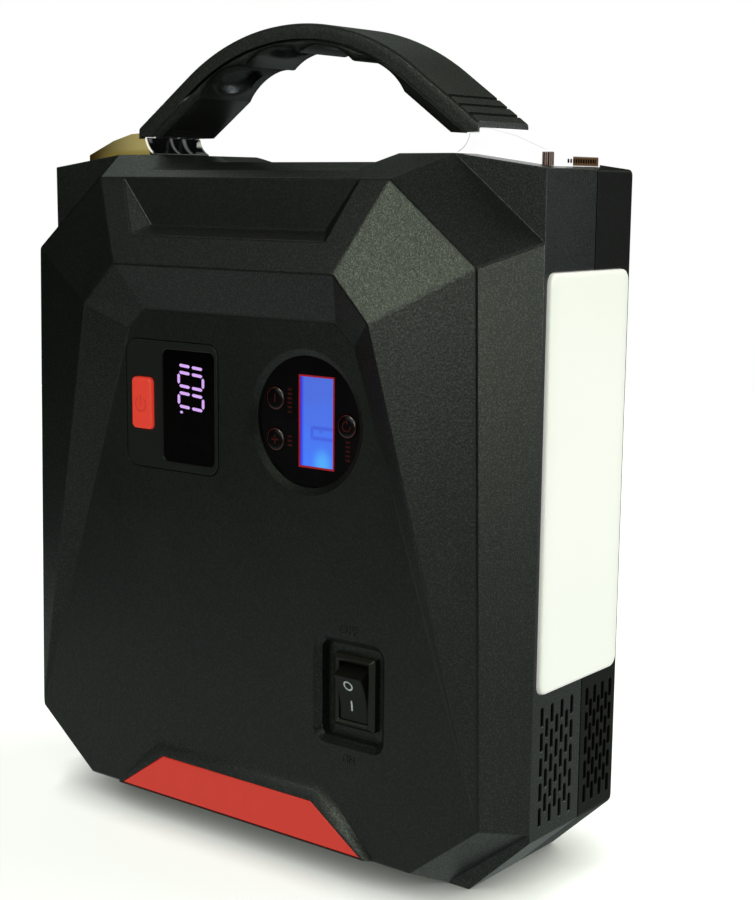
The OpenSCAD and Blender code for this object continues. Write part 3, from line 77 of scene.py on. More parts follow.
class Link:
    """One output of a node. Sums, products and powers of links add the Math nodes that they need."""

    def __init__(self, tree, socket=None):
        self.tree = tree
        self.socket = socket

    def node(self, kind, settings=None, out=0, **sockets):
        """Adds a node: first its settings, then the value or link of each input, named, or in_3 for the fourth.
        A colour is given as red, green and blue."""
        made = self.tree.nodes.new(kind)
        for name, value in (settings or {}).items():
            setattr(made, name, value)
        for name, value in sockets.items():
            place = made.inputs[int(name[3:])] if name.startswith("in_") else made.inputs[name.replace("_", " ")]
            if isinstance(value, Link):
                self.tree.links.new(value.socket, place)
            else:
                place.default_value = (*value, 1) if place.type == "RGBA" else value
        return Link(self.tree, made.outputs[out] if made.outputs else None)

    def maths(self, operation, *values):
        return self.node("ShaderNodeMath", {"operation": operation}, **{f"in_{i}": v for i, v in enumerate(values)})

    def __add__(self, other):
        return self.maths("ADD", self, other)

    __radd__ = __add__

    def __mul__(self, other):
        return self.maths("MULTIPLY", self, other)

    __rmul__ = __mul__

    def __sub__(self, other):
        return self.maths("SUBTRACT", self, other)

    def __rsub__(self, other):
        return self.maths("SUBTRACT", other, self)

    def __truediv__(self, other):
        return self.maths("DIVIDE", self, other)

    def __pow__(self, other):
        return self.maths("POWER", self, other)

    def size(self):
        return self.maths("ABSOLUTE", self)

    def least(self, other):
        return self.maths("MINIMUM", self, other)

    def most(self, other):
        return self.maths("MAXIMUM", self, other)

    def ease(self, low, high, at_low=0.0, at_high=1.0):
        """Goes smoothly from one value to another while this link goes from low to high."""
        return self.node("ShaderNodeMapRange", {"interpolation_type": "SMOOTHSTEP"},
                         in_0=self, in_1=low, in_2=high, in_3=at_low, in_4=at_high)

    def blend(self, first, second):
        """Mixes two colours, with this link as the share of the second."""
        return self.node("ShaderNodeMix", {"data_type": "RGBA"}, out=2, in_0=self, in_6=first, in_7=second)

    def place(self):
        """The place of a point in its own piece, in metres."""
        return self.node("ShaderNodeTexCoord", out=3)

    def noise(self, scale, detail=2.0, where=None, **sockets):
        """Noise about 0.5, with cells of about 1 / scale metres, broken up detail times."""
        return self.node("ShaderNodeTexNoise", Vector=where or self.place(), Scale=scale, Detail=detail, **sockets)

    def relief(self, height, distance, strength=1.0, **sockets):
        """A bumped normal: a height from 0 to 1 stands for distance metres."""
        return self.node("ShaderNodeBump", Height=height, Strength=strength, Distance=distance, **sockets)


sky = bpy.data.worlds.new("white_paper_room")
bpy.context.scene.world = sky
sky.use_nodes = True
sky.node_tree.nodes.clear()
room = Link(sky.node_tree)
direction = room.node("ShaderNodeVectorMath", {"operation": "NORMALIZE"}, in_0=room.node("ShaderNodeTexCoord", out=0))
# Each light box: the turn, rise and half width of its direction in degrees, and its brightness.
soft_boxes = [(251, 20, 10, (6.5, 7.5, 5.7)), (30, 10, 18, (4.7, 5.2, 5.4)), (352, -3, 12, (5.1, 5.7, 4.3)),
    (45, 42, 24, (5.0, 5.4, 4.4)), (262, 4, 12, (3.2, 3.5, 3.0)), (315, 42, 24, (1.35, 1.45, 1.3)),
    (240, 4, 10, (0.55, 0.57, 0.58)), (135, 42, 24, (0.40, 0.46, 0.41)), (223, 24, 12, (0.3, 0.3, 0.31)),
    (0, 90, 35, (0.12, 0.125, 0.12)), (185, 58, 20, (0.5, 0.5, 0.5))]
glow = (0, 0, 0)
for turn, rise, half, colour in soft_boxes:
    a, e = math.radians(turn), math.radians(rise)
    towards = (math.cos(e) * math.cos(a), math.cos(e) * math.sin(a), math.sin(e))
    near = room.node("ShaderNodeVectorMath", {"operation": "DOT_PRODUCT"}, out=1, in_0=direction, in_1=towards)
    box = near.ease(math.cos(math.radians(half)), math.cos(math.radians(half / 2))).blend((0, 0, 0), colour)
    glow = room.node("ShaderNodeMix", {"data_type": "RGBA", "blend_type": "ADD"}, out=2, in_0=1.0, in_6=glow, in_7=box)
seen = room.node("ShaderNodeLightPath", out=0)
paper = room.node("ShaderNodeBackground", Color=(1, 1, 1), Strength=1.0)
soft = room.node("ShaderNodeBackground", Color=glow, Strength=1.0)
backdrop = room.node("ShaderNodeMixShader", in_0=seen, in_1=soft, in_2=paper)
room.node("ShaderNodeOutputWorld", Surface=backdrop)


MM = 0.001


def new_material(name):
    """An empty material, and the link from which its nodes are made."""
    made = bpy.data.materials.new(name)
    made.use_nodes = True
    made.node_tree.nodes.clear()
    return made, Link(made.node_tree)


def close_material(link, **sockets):
    """Ends a material: the Principled shader with its sockets, into the output."""
    shader = link.node("ShaderNodeBsdfPrincipled", **sockets)
    link.node("ShaderNodeOutputMaterial", Surface=shader)


def grid_faces(rows, columns, closed=True):
    """Quads between neighbouring rows of a grid of points; a closed grid joins its last column to its first."""
    last = columns if closed else columns - 1
    i, j = np.meshgrid(np.arange(rows - 1), np.arange(last), indexing="ij")
    k = (j + 1) % columns
    quads = np.stack([i * columns + j, i * columns + k, (i + 1) * columns + k, (i + 1) * columns + j], -1)
    return quads.reshape(-1, 4).tolist()


def mesh_piece(name, points, faces, body=None, material=None, slot=None, turn=False):
    """An object from points in millimetres and faces; turn turns every face of a shell listed one by one outwards."""
    mesh = bpy.data.meshes.new(name)
    mesh.from_pydata((np.asarray(points, float) * MM).tolist(), [], faces)
    mesh.update()
    if turn:
        outward(mesh)
    made = bpy.data.objects.new(name, mesh)
    world_objects.link(made)
    if material:
        mesh.materials.append(material)
    if body:
        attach(made, body)
    return made


def outward(mesh, merge=False):
    """Turns all faces of closed shells outwards, after merging doubles where asked."""
    work = bmesh.new()
    work.from_mesh(mesh)
    if merge:
        bmesh.ops.remove_doubles(work, verts=work.verts, dist=1e-6)
    bmesh.ops.recalc_face_normals(work, faces=work.faces)
    work.to_mesh(mesh)
    work.free()


floor_radius, floor_top, floor_sides = 1150.0, -0.1, 96
turns = np.linspace(0, 2 * np.pi, floor_sides, endpoint=False)
rings = np.array([0.25, 0.6, 1.0]) * floor_radius
floor_points = np.concatenate([[[0, 0, floor_top]], np.stack([np.outer(rings, np.cos(turns)),
    np.outer(rings, np.sin(turns)), np.full((3, floor_sides), floor_top)], -1).reshape(-1, 3)])
floor_faces = [[0, 1 + i, 1 + (i + 1) % floor_sides] for i in range(floor_sides)]
floor_faces += [[1 + k for k in face] for face in grid_faces(3, floor_sides)]
paper_white, link = new_material("table_paper")
spread = link.noise(40.0, 4.0)
# The floor's glow to the camera is darkened near the pack by ambient occlusion: a painted contact shadow.
open_sky = link.node("ShaderNodeAmbientOcclusion", {"samples": 12}, out=1, Distance=0.015)
lit = link.node("ShaderNodeBsdfPrincipled", Base_Color=spread.blend((0.50, 0.49, 0.49), (0.53, 0.52, 0.52)),
    Roughness=0.8, Emission_Color=open_sky.blend((0, 0, 0), (0.97, 1.0, 0.94)), Emission_Strength=0.85)
# In reflections and bounced light the floor is a painted glow, brightest near the pack and dark further out.
reach = link.node("ShaderNodeVectorMath", {"operation": "LENGTH"}, out=1, in_0=link.place()).ease(0.22, 0.5)
dim = link.node("ShaderNodeEmission", Color=reach.blend((0.285, 0.33, 0.305), (0.026, 0.028, 0.027)), Strength=1.0)
seen = link.node("ShaderNodeLightPath", out=0)
link.node("ShaderNodeOutputMaterial", Surface=link.node("ShaderNodeMixShader", in_0=seen, in_1=dim, in_2=lit))
floor = mesh_piece("table_top", floor_points, floor_faces, material=paper_white, turn=True)

# ---- front shell ----
# The front half of the housing, moulded in black ABS with a fine spark-eroded grain.
# A faceted ridge frames the sunk field; the notch, wells and pockets take the panels and the switch.
half_w = 91.7
ridge_y, face_y, inner_face_y, root_y, seam_y = -37.5, -29.4, -26.4, -13.6, 11.3
core_back_y, back_y, core_mid_y = 30.3, 37.5, 8.35


def both_sides(right_points):
    """A closed outline from its right half, listed bottom to top, and the mirror image of it."""
    p = np.array(right_points, float)
    return np.concatenate([p, p[::-1] * [-1, 1]])


def inset(outline, d):
    """Moves each side of a convex outline inwards by d."""
    p = np.asarray(outline, float)
    back = p - np.roll(p, 1, 0)
    ahead = np.roll(p, -1, 0) - p
    back /= np.linalg.norm(back, axis=1)[:, None]
    ahead /= np.linalg.norm(ahead, axis=1)[:, None]
    a = np.stack([-back[:, 1], back[:, 0]], 1)
    b = np.stack([-ahead[:, 1], ahead[:, 0]], 1)
    return p + (a + b) * (d / (1 + (a * b).sum(1)))[:, None]


def rounded(w, h, r, cx=0.0, cz=0.0, steps=7):
    """Outline of a w by h rectangle with corners of radius r: four quarter circles, joined by its sides."""
    a = np.linspace(0, np.pi / 2, steps)
    parts = []
    for k, (sx, sz) in enumerate([(1, 1), (-1, 1), (-1, -1), (1, -1)]):
        t = a + k * np.pi / 2
        parts.append(np.stack([cx + sx * (w / 2 - r) + r * np.cos(t), cz + sz * (h / 2 - r) + r * np.sin(t)], 1))
    return np.concatenate(parts)


def circle(r, cx=0.0, cz=0.0, count=64):
    """Outline of a circle."""
    t = np.linspace(0, 2 * np.pi, count, endpoint=False)
    return np.stack([cx + r * np.cos(t), cz + r * np.sin(t)], 1)


def stack(outlines, depths, axis="y"):
    """A closed solid through outlines of equal count, one at each depth along an axis, capped at both ends."""
    rows, n = len(outlines), len(outlines[0])
    flat = np.asarray(outlines, float)
    deep = np.repeat(np.asarray(depths, float), n).reshape(rows, n)
    u, v = flat[..., 0], flat[..., 1]
    order = {"x": (deep, u, v), "y": (u, deep, v), "z": (u, v, deep)}[axis]
    points = np.stack(order, -1).reshape(-1, 3)
    return facing_out(points, grid_faces(rows, n) + [list(range(n))[::-1], list(range((rows - 1) * n, rows * n))])


def prism(outline, low, high, axis="y"):
    """A closed solid with the same outline from end to end."""
    return stack([outline] * 2, [low, high], axis)


def lofted(rows, cx, cz, axis="y", steps=7):
    """A closed solid through rounded rectangles about one line, each a width, height, corner radius and depth."""
    return stack([rounded(w, h, r, cx, cz, steps) for w, h, r, _ in rows], [row[3] for row in rows], axis)


def turned(rows, cx, cz, count=64):
    """A closed solid through circles about one line, each a radius and depth."""
    return stack([circle(r, cx, cz, count) for r, _ in rows], [depth for _, depth in rows])


def facing_out(points, faces):
    """Turns all faces of a consistent closed solid over if its volume, summed over fans of triangles, is negative."""
    fans = np.array([(f[0], f[k], f[k + 1]) for f in faces for k in range(1, len(f) - 1)])
    a, b, c = (points[fans[:, k]] for k in range(3))
    if (a * np.cross(b, c)).sum() < 0:
        faces = [f[::-1] for f in faces]
    return points, faces


def gather(parts):
    """Puts several closed solids, each points and faces, into one list of points and faces."""
    points, faces, start = [], [], 0
    for part_points, part_faces in parts:
        points.append(part_points)
        faces += [[start + k for k in face] for face in part_faces]
        start += len(part_points)
    return np.concatenate(points), faces


def keep_shape(made):
    """Bakes an object's modifiers into its mesh."""
    shown = bpy.context.evaluated_depsgraph_get()
    mesh = bpy.data.meshes.new_from_object(made.evaluated_get(shown))
    made.modifiers.clear()
    made.data = mesh


def points_of(mesh):
    """The points of a mesh, one row each, in metres."""
    points = np.zeros(len(mesh.vertices) * 3)
    mesh.vertices.foreach_get("co", points)
    return points.reshape(-1, 3)


def round_edges(made, width, weights=None, **settings):
    """Rounds edges in three steps: width millimetres, times the weight of each edge where weights are given."""
    rounding = made.modifiers.new("edges", "BEVEL")
    rounding.width = width * MM
    rounding.segments = 3
    if weights is not None:
        rounding.limit_method = "WEIGHT"
        made.data.attributes.new("bevel_weight_edge", "FLOAT", "EDGE").data.foreach_set("value", weights)
    for name, value in settings.items():
        setattr(rounding, name, value)
    keep_shape(made)


def carve(made, *cutters, joining=False):
    """Takes closed cutters, each points and faces, out of an object one after another, or joins them to it."""
    for k, (points, faces) in enumerate(cutters):
        cutter = mesh_piece(f"cutter_{k}", points, faces)
        tool = made.modifiers.new("carve", "BOOLEAN")
        tool.operation = "UNION" if joining else "DIFFERENCE"
        tool.solver = "EXACT"
        tool.object = cutter
        bpy.context.view_layer.update()
        keep_shape(made)
        bpy.data.objects.remove(cutter)


def soften(made, angle=28, weighted=True):
    """Smooth shading that stops at edges sharper than an angle, with flat faces kept flat."""
    made.data.shade_smooth()
    made.data.set_sharp_from_angle(angle=math.radians(angle))
    if weighted:
        flat = made.modifiers.new("flat_faces", "WEIGHTED_NORMAL")
        flat.keep_sharp = True


corner = {"T": (54.2, face_y, 194.5), "S": (81.9, face_y, 172.7), "B": (85.8, face_y, 25.3), "D": (63.2, face_y, 7.5),
    "R1": (41.3, -36.925, 169.6), "R2": (53.4, ridge_y, 157.4), "P1": (36.2, face_y, 156.3), "P2": (43, face_y, 150.6),
    "N1": (44.4, face_y, 194.5), "N2": (33, face_y, 180.7), "N3": (36.5, -34.4, 177.95),
    "Rd": (65.2, root_y, 0), "Rb": (91.7, root_y, 20.87), "Rs": (91.7, root_y, 178.71), "Re": (63, root_y, 201.3),
    "Bd": (72.4, root_y, 0), "Bb": (91.7, root_y, 18.4), "Bs": (91.7, root_y, 197.5),
    "Cd": (72.4, seam_y, 0), "Cb": (91.7, seam_y, 18.4), "Cs": (91.7, seam_y, 197.5), "Ce": (63, seam_y, 201.3)}
names = list(corner)
shell_points = np.array([corner[k] for k in names] + [(-corner[k][0], *corner[k][1:]) for k in names])
place = {k: i for i, k in enumerate(names)}
place.update({"-" + k: i + len(names) for i, k in enumerate(names)})
one_side = ["T R1 R2 S", "S R2 B", "P2 B R2", "P1 P2 R2", "P1 R2 R1", "N2 N3 N1", "D B Rb Rd", "B S Rs Rb", "S T Re Rs",
    "Rd Bd Bb Rb", "Rs Bs Re", "Rb Bb Cb Cs Bs Rs", "Bd Cd Cb Bb", "Bs Cs Ce Re"]
whole = ["P1 R1 -R1 -P1", "R1 T N1 N3 -N3 -N1 -T -R1", "N1 N2 -N2 -N1", "N2 N3 -N3 -N2",
    "D B P2 P1 -P1 -P2 -B -D", "T N1 -N1 -T -Re Re", "D Rd -Rd -D", "Rd Bd Cd -Cd -Bd -Rd", "Re Ce -Ce -Re",
    "Cd Cb Cs Ce -Ce -Cs -Cb -Cd"]
shell_faces = [[place[k] for k in face.split()] for face in one_side + whole]
shell_faces += [[place["-" + k] for k in face.split()][::-1] for face in one_side]
front = mesh_piece("front_shell_moulding", shell_points, shell_faces, turn=True)
wide_edges = {"Rd", "Rb", "Rs", "Re"}


def edge_width(first, second):
    """Rounding of one edge in millimetres, from the names of its two corners."""
    pair = {first.strip("-"), second.strip("-")}
    if all(k.startswith("C") for k in pair):
        return 0.25
    if pair & {"Bb", "Bs", "Bd"} or pair <= wide_edges:
        return 0.3
    if pair & {"N1", "N2", "N3"}:
        return 0.45
    return 0.55


label = {i: k for k, i in place.items()}
round_edges(front, 1.0, [edge_width(label[e.vertices[0]], label[e.vertices[1]]) for e in front.data.edges],
    use_clamp_overlap=False, miter_outer="MITER_SHARP")

light_outline = both_sides([(48.6, 7.8), (29.6, 20.9)])
light_foot = both_sides([(50.6, 7.7), (32.6, 26.9)])
carve(front, stack([light_outline, light_outline * 0.5 + light_foot * 0.5, light_foot, light_foot],
    [face_y - 1.7, face_y - 1.15, face_y + 0.1, face_y + 0.8]), joining=True)

wall = 2.5
hollow_body = both_sides([(72.4, 0), (91.7, 18.4), (91.7, 195.2), (63, 199)])
hollow_root = both_sides([(65.2, 0), (91.7, 20.87), (91.7, 178.71), (63, 199)])
hollow_face = both_sides([(63.2, 7.5), (85.8, 25.3), (81.9, 172.7), (54.2, 192.2)])
posts = [(-58, 7, 34), (58, 7, 34), (-85.5, 186, 22), (85.5, 186, 22), (-85.5, 100, 22), (74.8, 100, 40.5)]


def cavity(solid, keepers):
    """A closed space, points and faces, with the posts and blocks that stand in it left out."""
    space = mesh_piece("cavity", *solid)
    carve(space, *keepers)
    points = points_of(space.data) / MM
    faces = [list(face.vertices) for face in space.data.polygons]
    bpy.data.objects.remove(space)
    return points, faces


panel_x, gauge_x, display_z = -25.7, 25.7, 128.4
switch_x, switch_z, well_floor_y = 41.6, 54.0, -25.2
board_posts = [(panel_x, 17, 20.4, -21.4), (gauge_x, 20, 20, -19.4)]
front_space = cavity(
    stack([inset(hollow_face, wall), inset(hollow_root, wall), inset(hollow_body, wall), inset(hollow_body, wall)],
        [inner_face_y, root_y, root_y + wall, seam_y + 1]),
    [prism(circle(20.8, gauge_x, display_z), inner_face_y - 2, -24.0),
     prism(rounded(26.5, 32.5, 1, switch_x, switch_z), inner_face_y - 2, well_floor_y + 2)]
    + [prism(circle(3.8, x, z, 32), seam_y - d, seam_y + 2) for x, z, d in posts]
    + [prism(circle(2.2, cx + sx, display_z + sz, 24), inner_face_y - 2, y)
       for cx, dx, dz, y in board_posts for sx in (-dx, dx) for sz in (-dz, dz)])

scoop_low = [(-37.2, 199), (37.2, 199), (46.2, 201.6), (-46.2, 201.6)]
scoop_lip = [(-39.3, 196.46), (39.3, 196.46), (39.9, 196.86), (-39.9, 196.86)]
scoop = stack([scoop_lip, scoop_low, scoop_low], [face_y + 4.8, root_y + 0.01, back_y + 1])


slot_low, slot_rise = 24.4, 7.07


def slots(y_mid, pitch):
    """Vent slots of the right wall: seven columns of five and four slots by turns, each a bar with round ends."""
    bar = rounded(1.4, 5.4, 0.7, steps=5)
    made = []
    for c in range(7):
        for k in range(5 - c % 2):
            at = np.array([y_mid + (c - 3) * pitch, slot_low + (k + (c % 2) / 2) * slot_rise])
            made.append(stack([bar + at, bar + at, bar * [1.3, 1.08] + at],
                [half_w - 3.6, half_w - 0.22, half_w + 0.1], "x"))
    return gather(made)


def wall_opening(w, h, z, side):
    """A stepped cutter through the left (-1) or right (1) wall: a hole, a ledge 2.1 wide round it, a bevelled rim."""
    rows = [(0, 2, 88.2), (0, 2, 90.2), (4.2, 3, 90.2), (4.2, 3, 91.4), (4.8, 3.3, 91.75)]
    return lofted([(w + wider, h + wider, r, side * x) for wider, r, x in rows], core_mid_y, z, "x")


lamp_z, port_z = 115.1, 60.0
lamp_hole = wall_opening(36.1, 107.8, lamp_z, 1)
port_hole = wall_opening(32, 58, port_z, -1)
gauge_hole = turned([(20.5, -31), (20.45, -29.5), (20.0, -29.2), (18.35, -28.2), (18.35, -25.4), (17.5, -25.4),
    (17.5, -23)], gauge_x, display_z, 96)
panel_hole = lofted([(38.1, 38.9, 4.3, -31), (38.1, 38.9, 4.3, -29.41), (37.6, 38.4, 4, -29.2), (37.6, 38.4, 4, -27.8),
    (34.8, 35.6, 3, -27.8), (34.8, 35.6, 3, -25.4)], panel_x, display_z)
switch_hole = lofted([(25.3, 31.3, 4.3, -31), (25.3, 31.3, 4.3, -29.41), (24.6, 30.6, 3.9, -29.2),
    (21.6, 27.6, 2.5, -27.9), (21.2, 27.2, 2.3, -27.5), (21.2, 27.2, 2.3, well_floor_y),
    (13.1, 19.3, 0.5, well_floor_y), (13.1, 19.3, 0.5, -22)], switch_x, switch_z)
light_slot = rounded(49.2, 5.5, 0.5, 0, 14.25)
handle_screw_x, handle_screw_y = 70, 6.4


def handle_screw_holes(side):
    """Cutters for the two handle screws in the front (-1) or rear (1) half of the roof."""
    return gather([prism(circle(2.08, x, core_mid_y + side * handle_screw_y, 24), 194, 202, "z")
        for x in (-handle_screw_x, handle_screw_x)])


carve(front, front_space, scoop, panel_hole, gauge_hole, switch_hole,
    prism(inset(light_outline, 0.3), -33, -28.2), prism(light_slot, -29, -25.4),
    lamp_hole, port_hole, slots(root_y + 12.5, 2.53), handle_screw_holes(-1))
soften(front)


def grain(link, size, coarse=0.5):
    """Spark-eroded grain, 0 to 1: rounded cells about size metres apart, broken up by a finer and a coarser noise."""
    cells = link.node("ShaderNodeTexVoronoi", {"feature": "SMOOTH_F1"}, Vector=link.place(), Scale=1 / size,
        Smoothness=0.6)
    fine = link.noise(2.2 / size, 2.0)
    broad = link.noise(0.35 / size, 2.0)
    return cells * (1 - coarse) + fine * 0.35 + broad * coarse * 0.6


def shaded(colour, by, more=0.0):
    """A colour made lighter or darker, held to at most 1."""
    return tuple(min(1.0, c * by + more) for c in colour)


def moulded(name, colour, rough=0.5, size=0.0007, depth=0.05, wear=0.25, edge=0.0, gloss=0.5, speck=0.06, flecks=0.0,
        polish=None, calm=None):
    """Moulded plastic: grain in bump and roughness, slow cloudy changes of tone, faint rubbed patches.
    Bump height is depth millimetres; edge is the radius in millimetres that rounds the light on CAD edges.
    Speck is how much the roughness changes from grain to grain, flecks how much gloss the tips of a finer grain
    carry; polish gives a mask where the tool was polished, calm one where the tips are flatter."""
    made, link = new_material(name)
    surface = grain(link, size)
    cloud = link.noise(22.0, 4.0, Roughness=0.6)
    rubbed = link.noise(70.0, 6.0, Roughness=0.7).ease(0.58, 0.75) * wear
    shade = cloud * 0.5 + surface * 0.35
    coat, haze = 0.0, 0.08
    if flecks:
        haze = 0.34
        coat = link.noise(2400.0, 1.0).ease(0.46, 0.67, 0.0, flecks)
        if calm:
            coat = coat * (1 - calm(link))
        shade = shade + coat * 0.25
    tone = rubbed.blend(shade.ease(0.2, 0.75).blend(shaded(colour, 0.78), shaded(colour, 1.25, 0.002)),
        shaded(colour, 1.5, 0.006))
    roughness = (rough - 0.06 - speck * 0.5 + cloud * 0.12 + surface * speck - rubbed * 0.12).least(1.0)
    if polish:
        flat = polish(link)
        roughness = roughness * (1 - 0.45 * flat)
        surface = surface * (1 - 0.9 * flat)
        coat = coat * (1 - flat) + flat * 0.3
    round_edge = {"Normal": link.node("ShaderNodeBevel", {"samples": 4}, Radius=edge * MM)} if edge else {}
    close_material(link, Base_Color=tone, Roughness=roughness, Normal=link.relief(surface, depth * MM, **round_edge),
        Coat_Weight=coat, Coat_Roughness=haze, Specular_IOR_Level=gloss)
    return made


def place_of(link):
    """The x and z of a point of a piece, in millimetres, and its y."""
    where = link.place()
    return tuple(link.node("ShaderNodeSeparateXYZ", out=k, in_0=where) * 1000 for k in (0, 2, 1))


def middle_field(link):
    """One half in the plane of the flat middle field, 0 elsewhere."""
    _, _, y = place_of(link)
    return (y - face_y).size().ease(0.1, 0.4, 0.5, 0.0)


housing_black = moulded("housing_black", (0.0070, 0.0085, 0.0076), rough=0.34, wear=0.05, gloss=0.42, speck=0.2,
    flecks=0.64, calm=middle_field)
front.data.materials.clear()
front.data.materials.append(housing_black)
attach(front, "housing")
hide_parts("front_shell")

# ---- rear shell ----
# The rear half, moulded like the front one, with a bevelled back, cooling slots and screw counterbores.
# Shelves inside it carry the battery holders, and the shells are drawn together by six screws.
body_outline = both_sides([(72.4, 0), (91.7, 18.4), (91.7, 197.5), (63, 201.3)])
rear = mesh_piece("rear_shell_moulding", *stack([body_outline, body_outline, inset(body_outline, 9)],
    [seam_y + 0.3, core_back_y, back_y]))
ends = np.zeros(len(rear.data.edges) * 2, int)
rear.data.edges.foreach_get("vertices", ends)
at_seam = (ends.reshape(-1, 2) < 8).all(1)
round_edges(rear, 1.0, np.where(at_seam, 0.25, 0.9))
cells_x = (-51, -17, 17, 51)
cell_y = 14.35
shelves = []
for z in (109.4, 171.9):
    shelf = cavity(prism(rounded(140, 14, 0.3, 0, 29), z, z + 2.5, "z"),
        [prism(circle(16.85, x, cell_y), z - 1, z + 4, "z") for x in cells_x])
    shelves.append(shelf)
rear_space = cavity(
    stack([inset(hollow_body, wall)] * 2 + [inset(hollow_body, 10.5)], [seam_y - 1, core_back_y, back_y - wall]),
    [prism(circle(3.8, x, z, 32), seam_y - 2, back_y) for x, z, _ in posts] + shelves)


def counterbore(x, z):
    """A cutter for the head of one screw, from behind; where the back is flat its rim is flared."""
    if abs(x) > 84:
        return prism(circle(3.6, x, z, 32), 28.5, 38)
    return turned([(3.6, 28.5), (3.6, 37.1), (4.0, 38)], x, z, 32)


counterbores = gather([counterbore(x, z) for x, z, _ in sorted(posts, key=lambda post: abs(post[0]) > 84)])
cooling = gather([lofted([(2.4, 30, 1.2, 34), (2.4, 30, 1.2, 37.2), (3.0, 30.6, 1.5, 37.6)], x * 7, 48)
    for x in range(-4, 5)])
carve(rear, rear_space, scoop, lamp_hole, port_hole, slots(20.9, 2.1), cooling, counterbores,
    handle_screw_holes(1))
soften(rear)
rear.data.materials.clear()
rear_black = moulded("rear_black", (0.0060, 0.0056, 0.0052), rough=0.44, size=0.00055, depth=0.03, wear=0.05,
    gloss=0.10, speck=0.15, flecks=0.2)
rear.data.materials.append(rear_black)
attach(rear, "housing")
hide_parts("rear_shell")

# ---- shell screws ----
# Six long self-tapping screws of zinc-plated steel draw the shells together from the back.
# Their heads sit deep in the counterbores.


def metal(name, colour, rough=0.3, size=0.004, depth=0.01, along=(1, 1, 14)):
    """Machined or plated metal: fine streaks drawn out along one axis, soft clouds of tone, rounded edges.
    The streaks are noise squeezed along the other two axes."""
    made, link = new_material(name)
    streaks = link.noise(1 / size, 3.0, link.node("ShaderNodeMapping", Vector=link.place(), Scale=along))
    cloud = link.noise(60.0, 4.0)
    stain = link.noise(220.0, 3.0).ease(0.55, 0.8)
    tone = (cloud * 0.6 + streaks * 0.4).ease(0.3, 0.7).blend(shaded(colour, 0.72), colour)
    round_edge = link.node("ShaderNodeBevel", {"samples": 4}, Radius=0.15 * MM)
    close_material(link, Base_Color=(stain * 0.3).blend(tone, shaded(colour, 0.5)), Metallic=1.0,
        Roughness=rough - 0.05 + streaks * 0.12 + stain * 0.1,
        Normal=link.relief(streaks, depth * MM, Normal=round_edge))
    return made


def dress(material, *nodes):
    """Gives the CAD nodes that stay in view a material, by their slots."""
    for node in nodes:
        for slot in frame["nodes"][node].material_slots:
            slot.material = material


dress(metal("zinc_steel", (0.42, 0.43, 0.44), rough=0.34), "shell_screws", "handle_screws", "board_screws")

# ---- grip ----
# A rigid arched grip, moulded over the tongues of the end blocks in soft black rubber.
# Four finger hollows with oval dents lie under it, and three thumb grooves cross it near each end.
arch_z, arch_r, leg_angle, grip_foot_z, grip_end = 163.0, 75.0, math.radians(35), 207.0, 63.8
crest = leg_angle / 2
inner_arch = arch_r - 8
rise = 2.4 + inner_arch * (1 - math.cos(crest / 2))
chord = inner_arch * math.sin(crest / 2)
hollow_round = (chord ** 2 + rise ** 2) / (2 * rise)
hollow_middle = inner_arch * math.cos(crest / 2) + rise - hollow_round


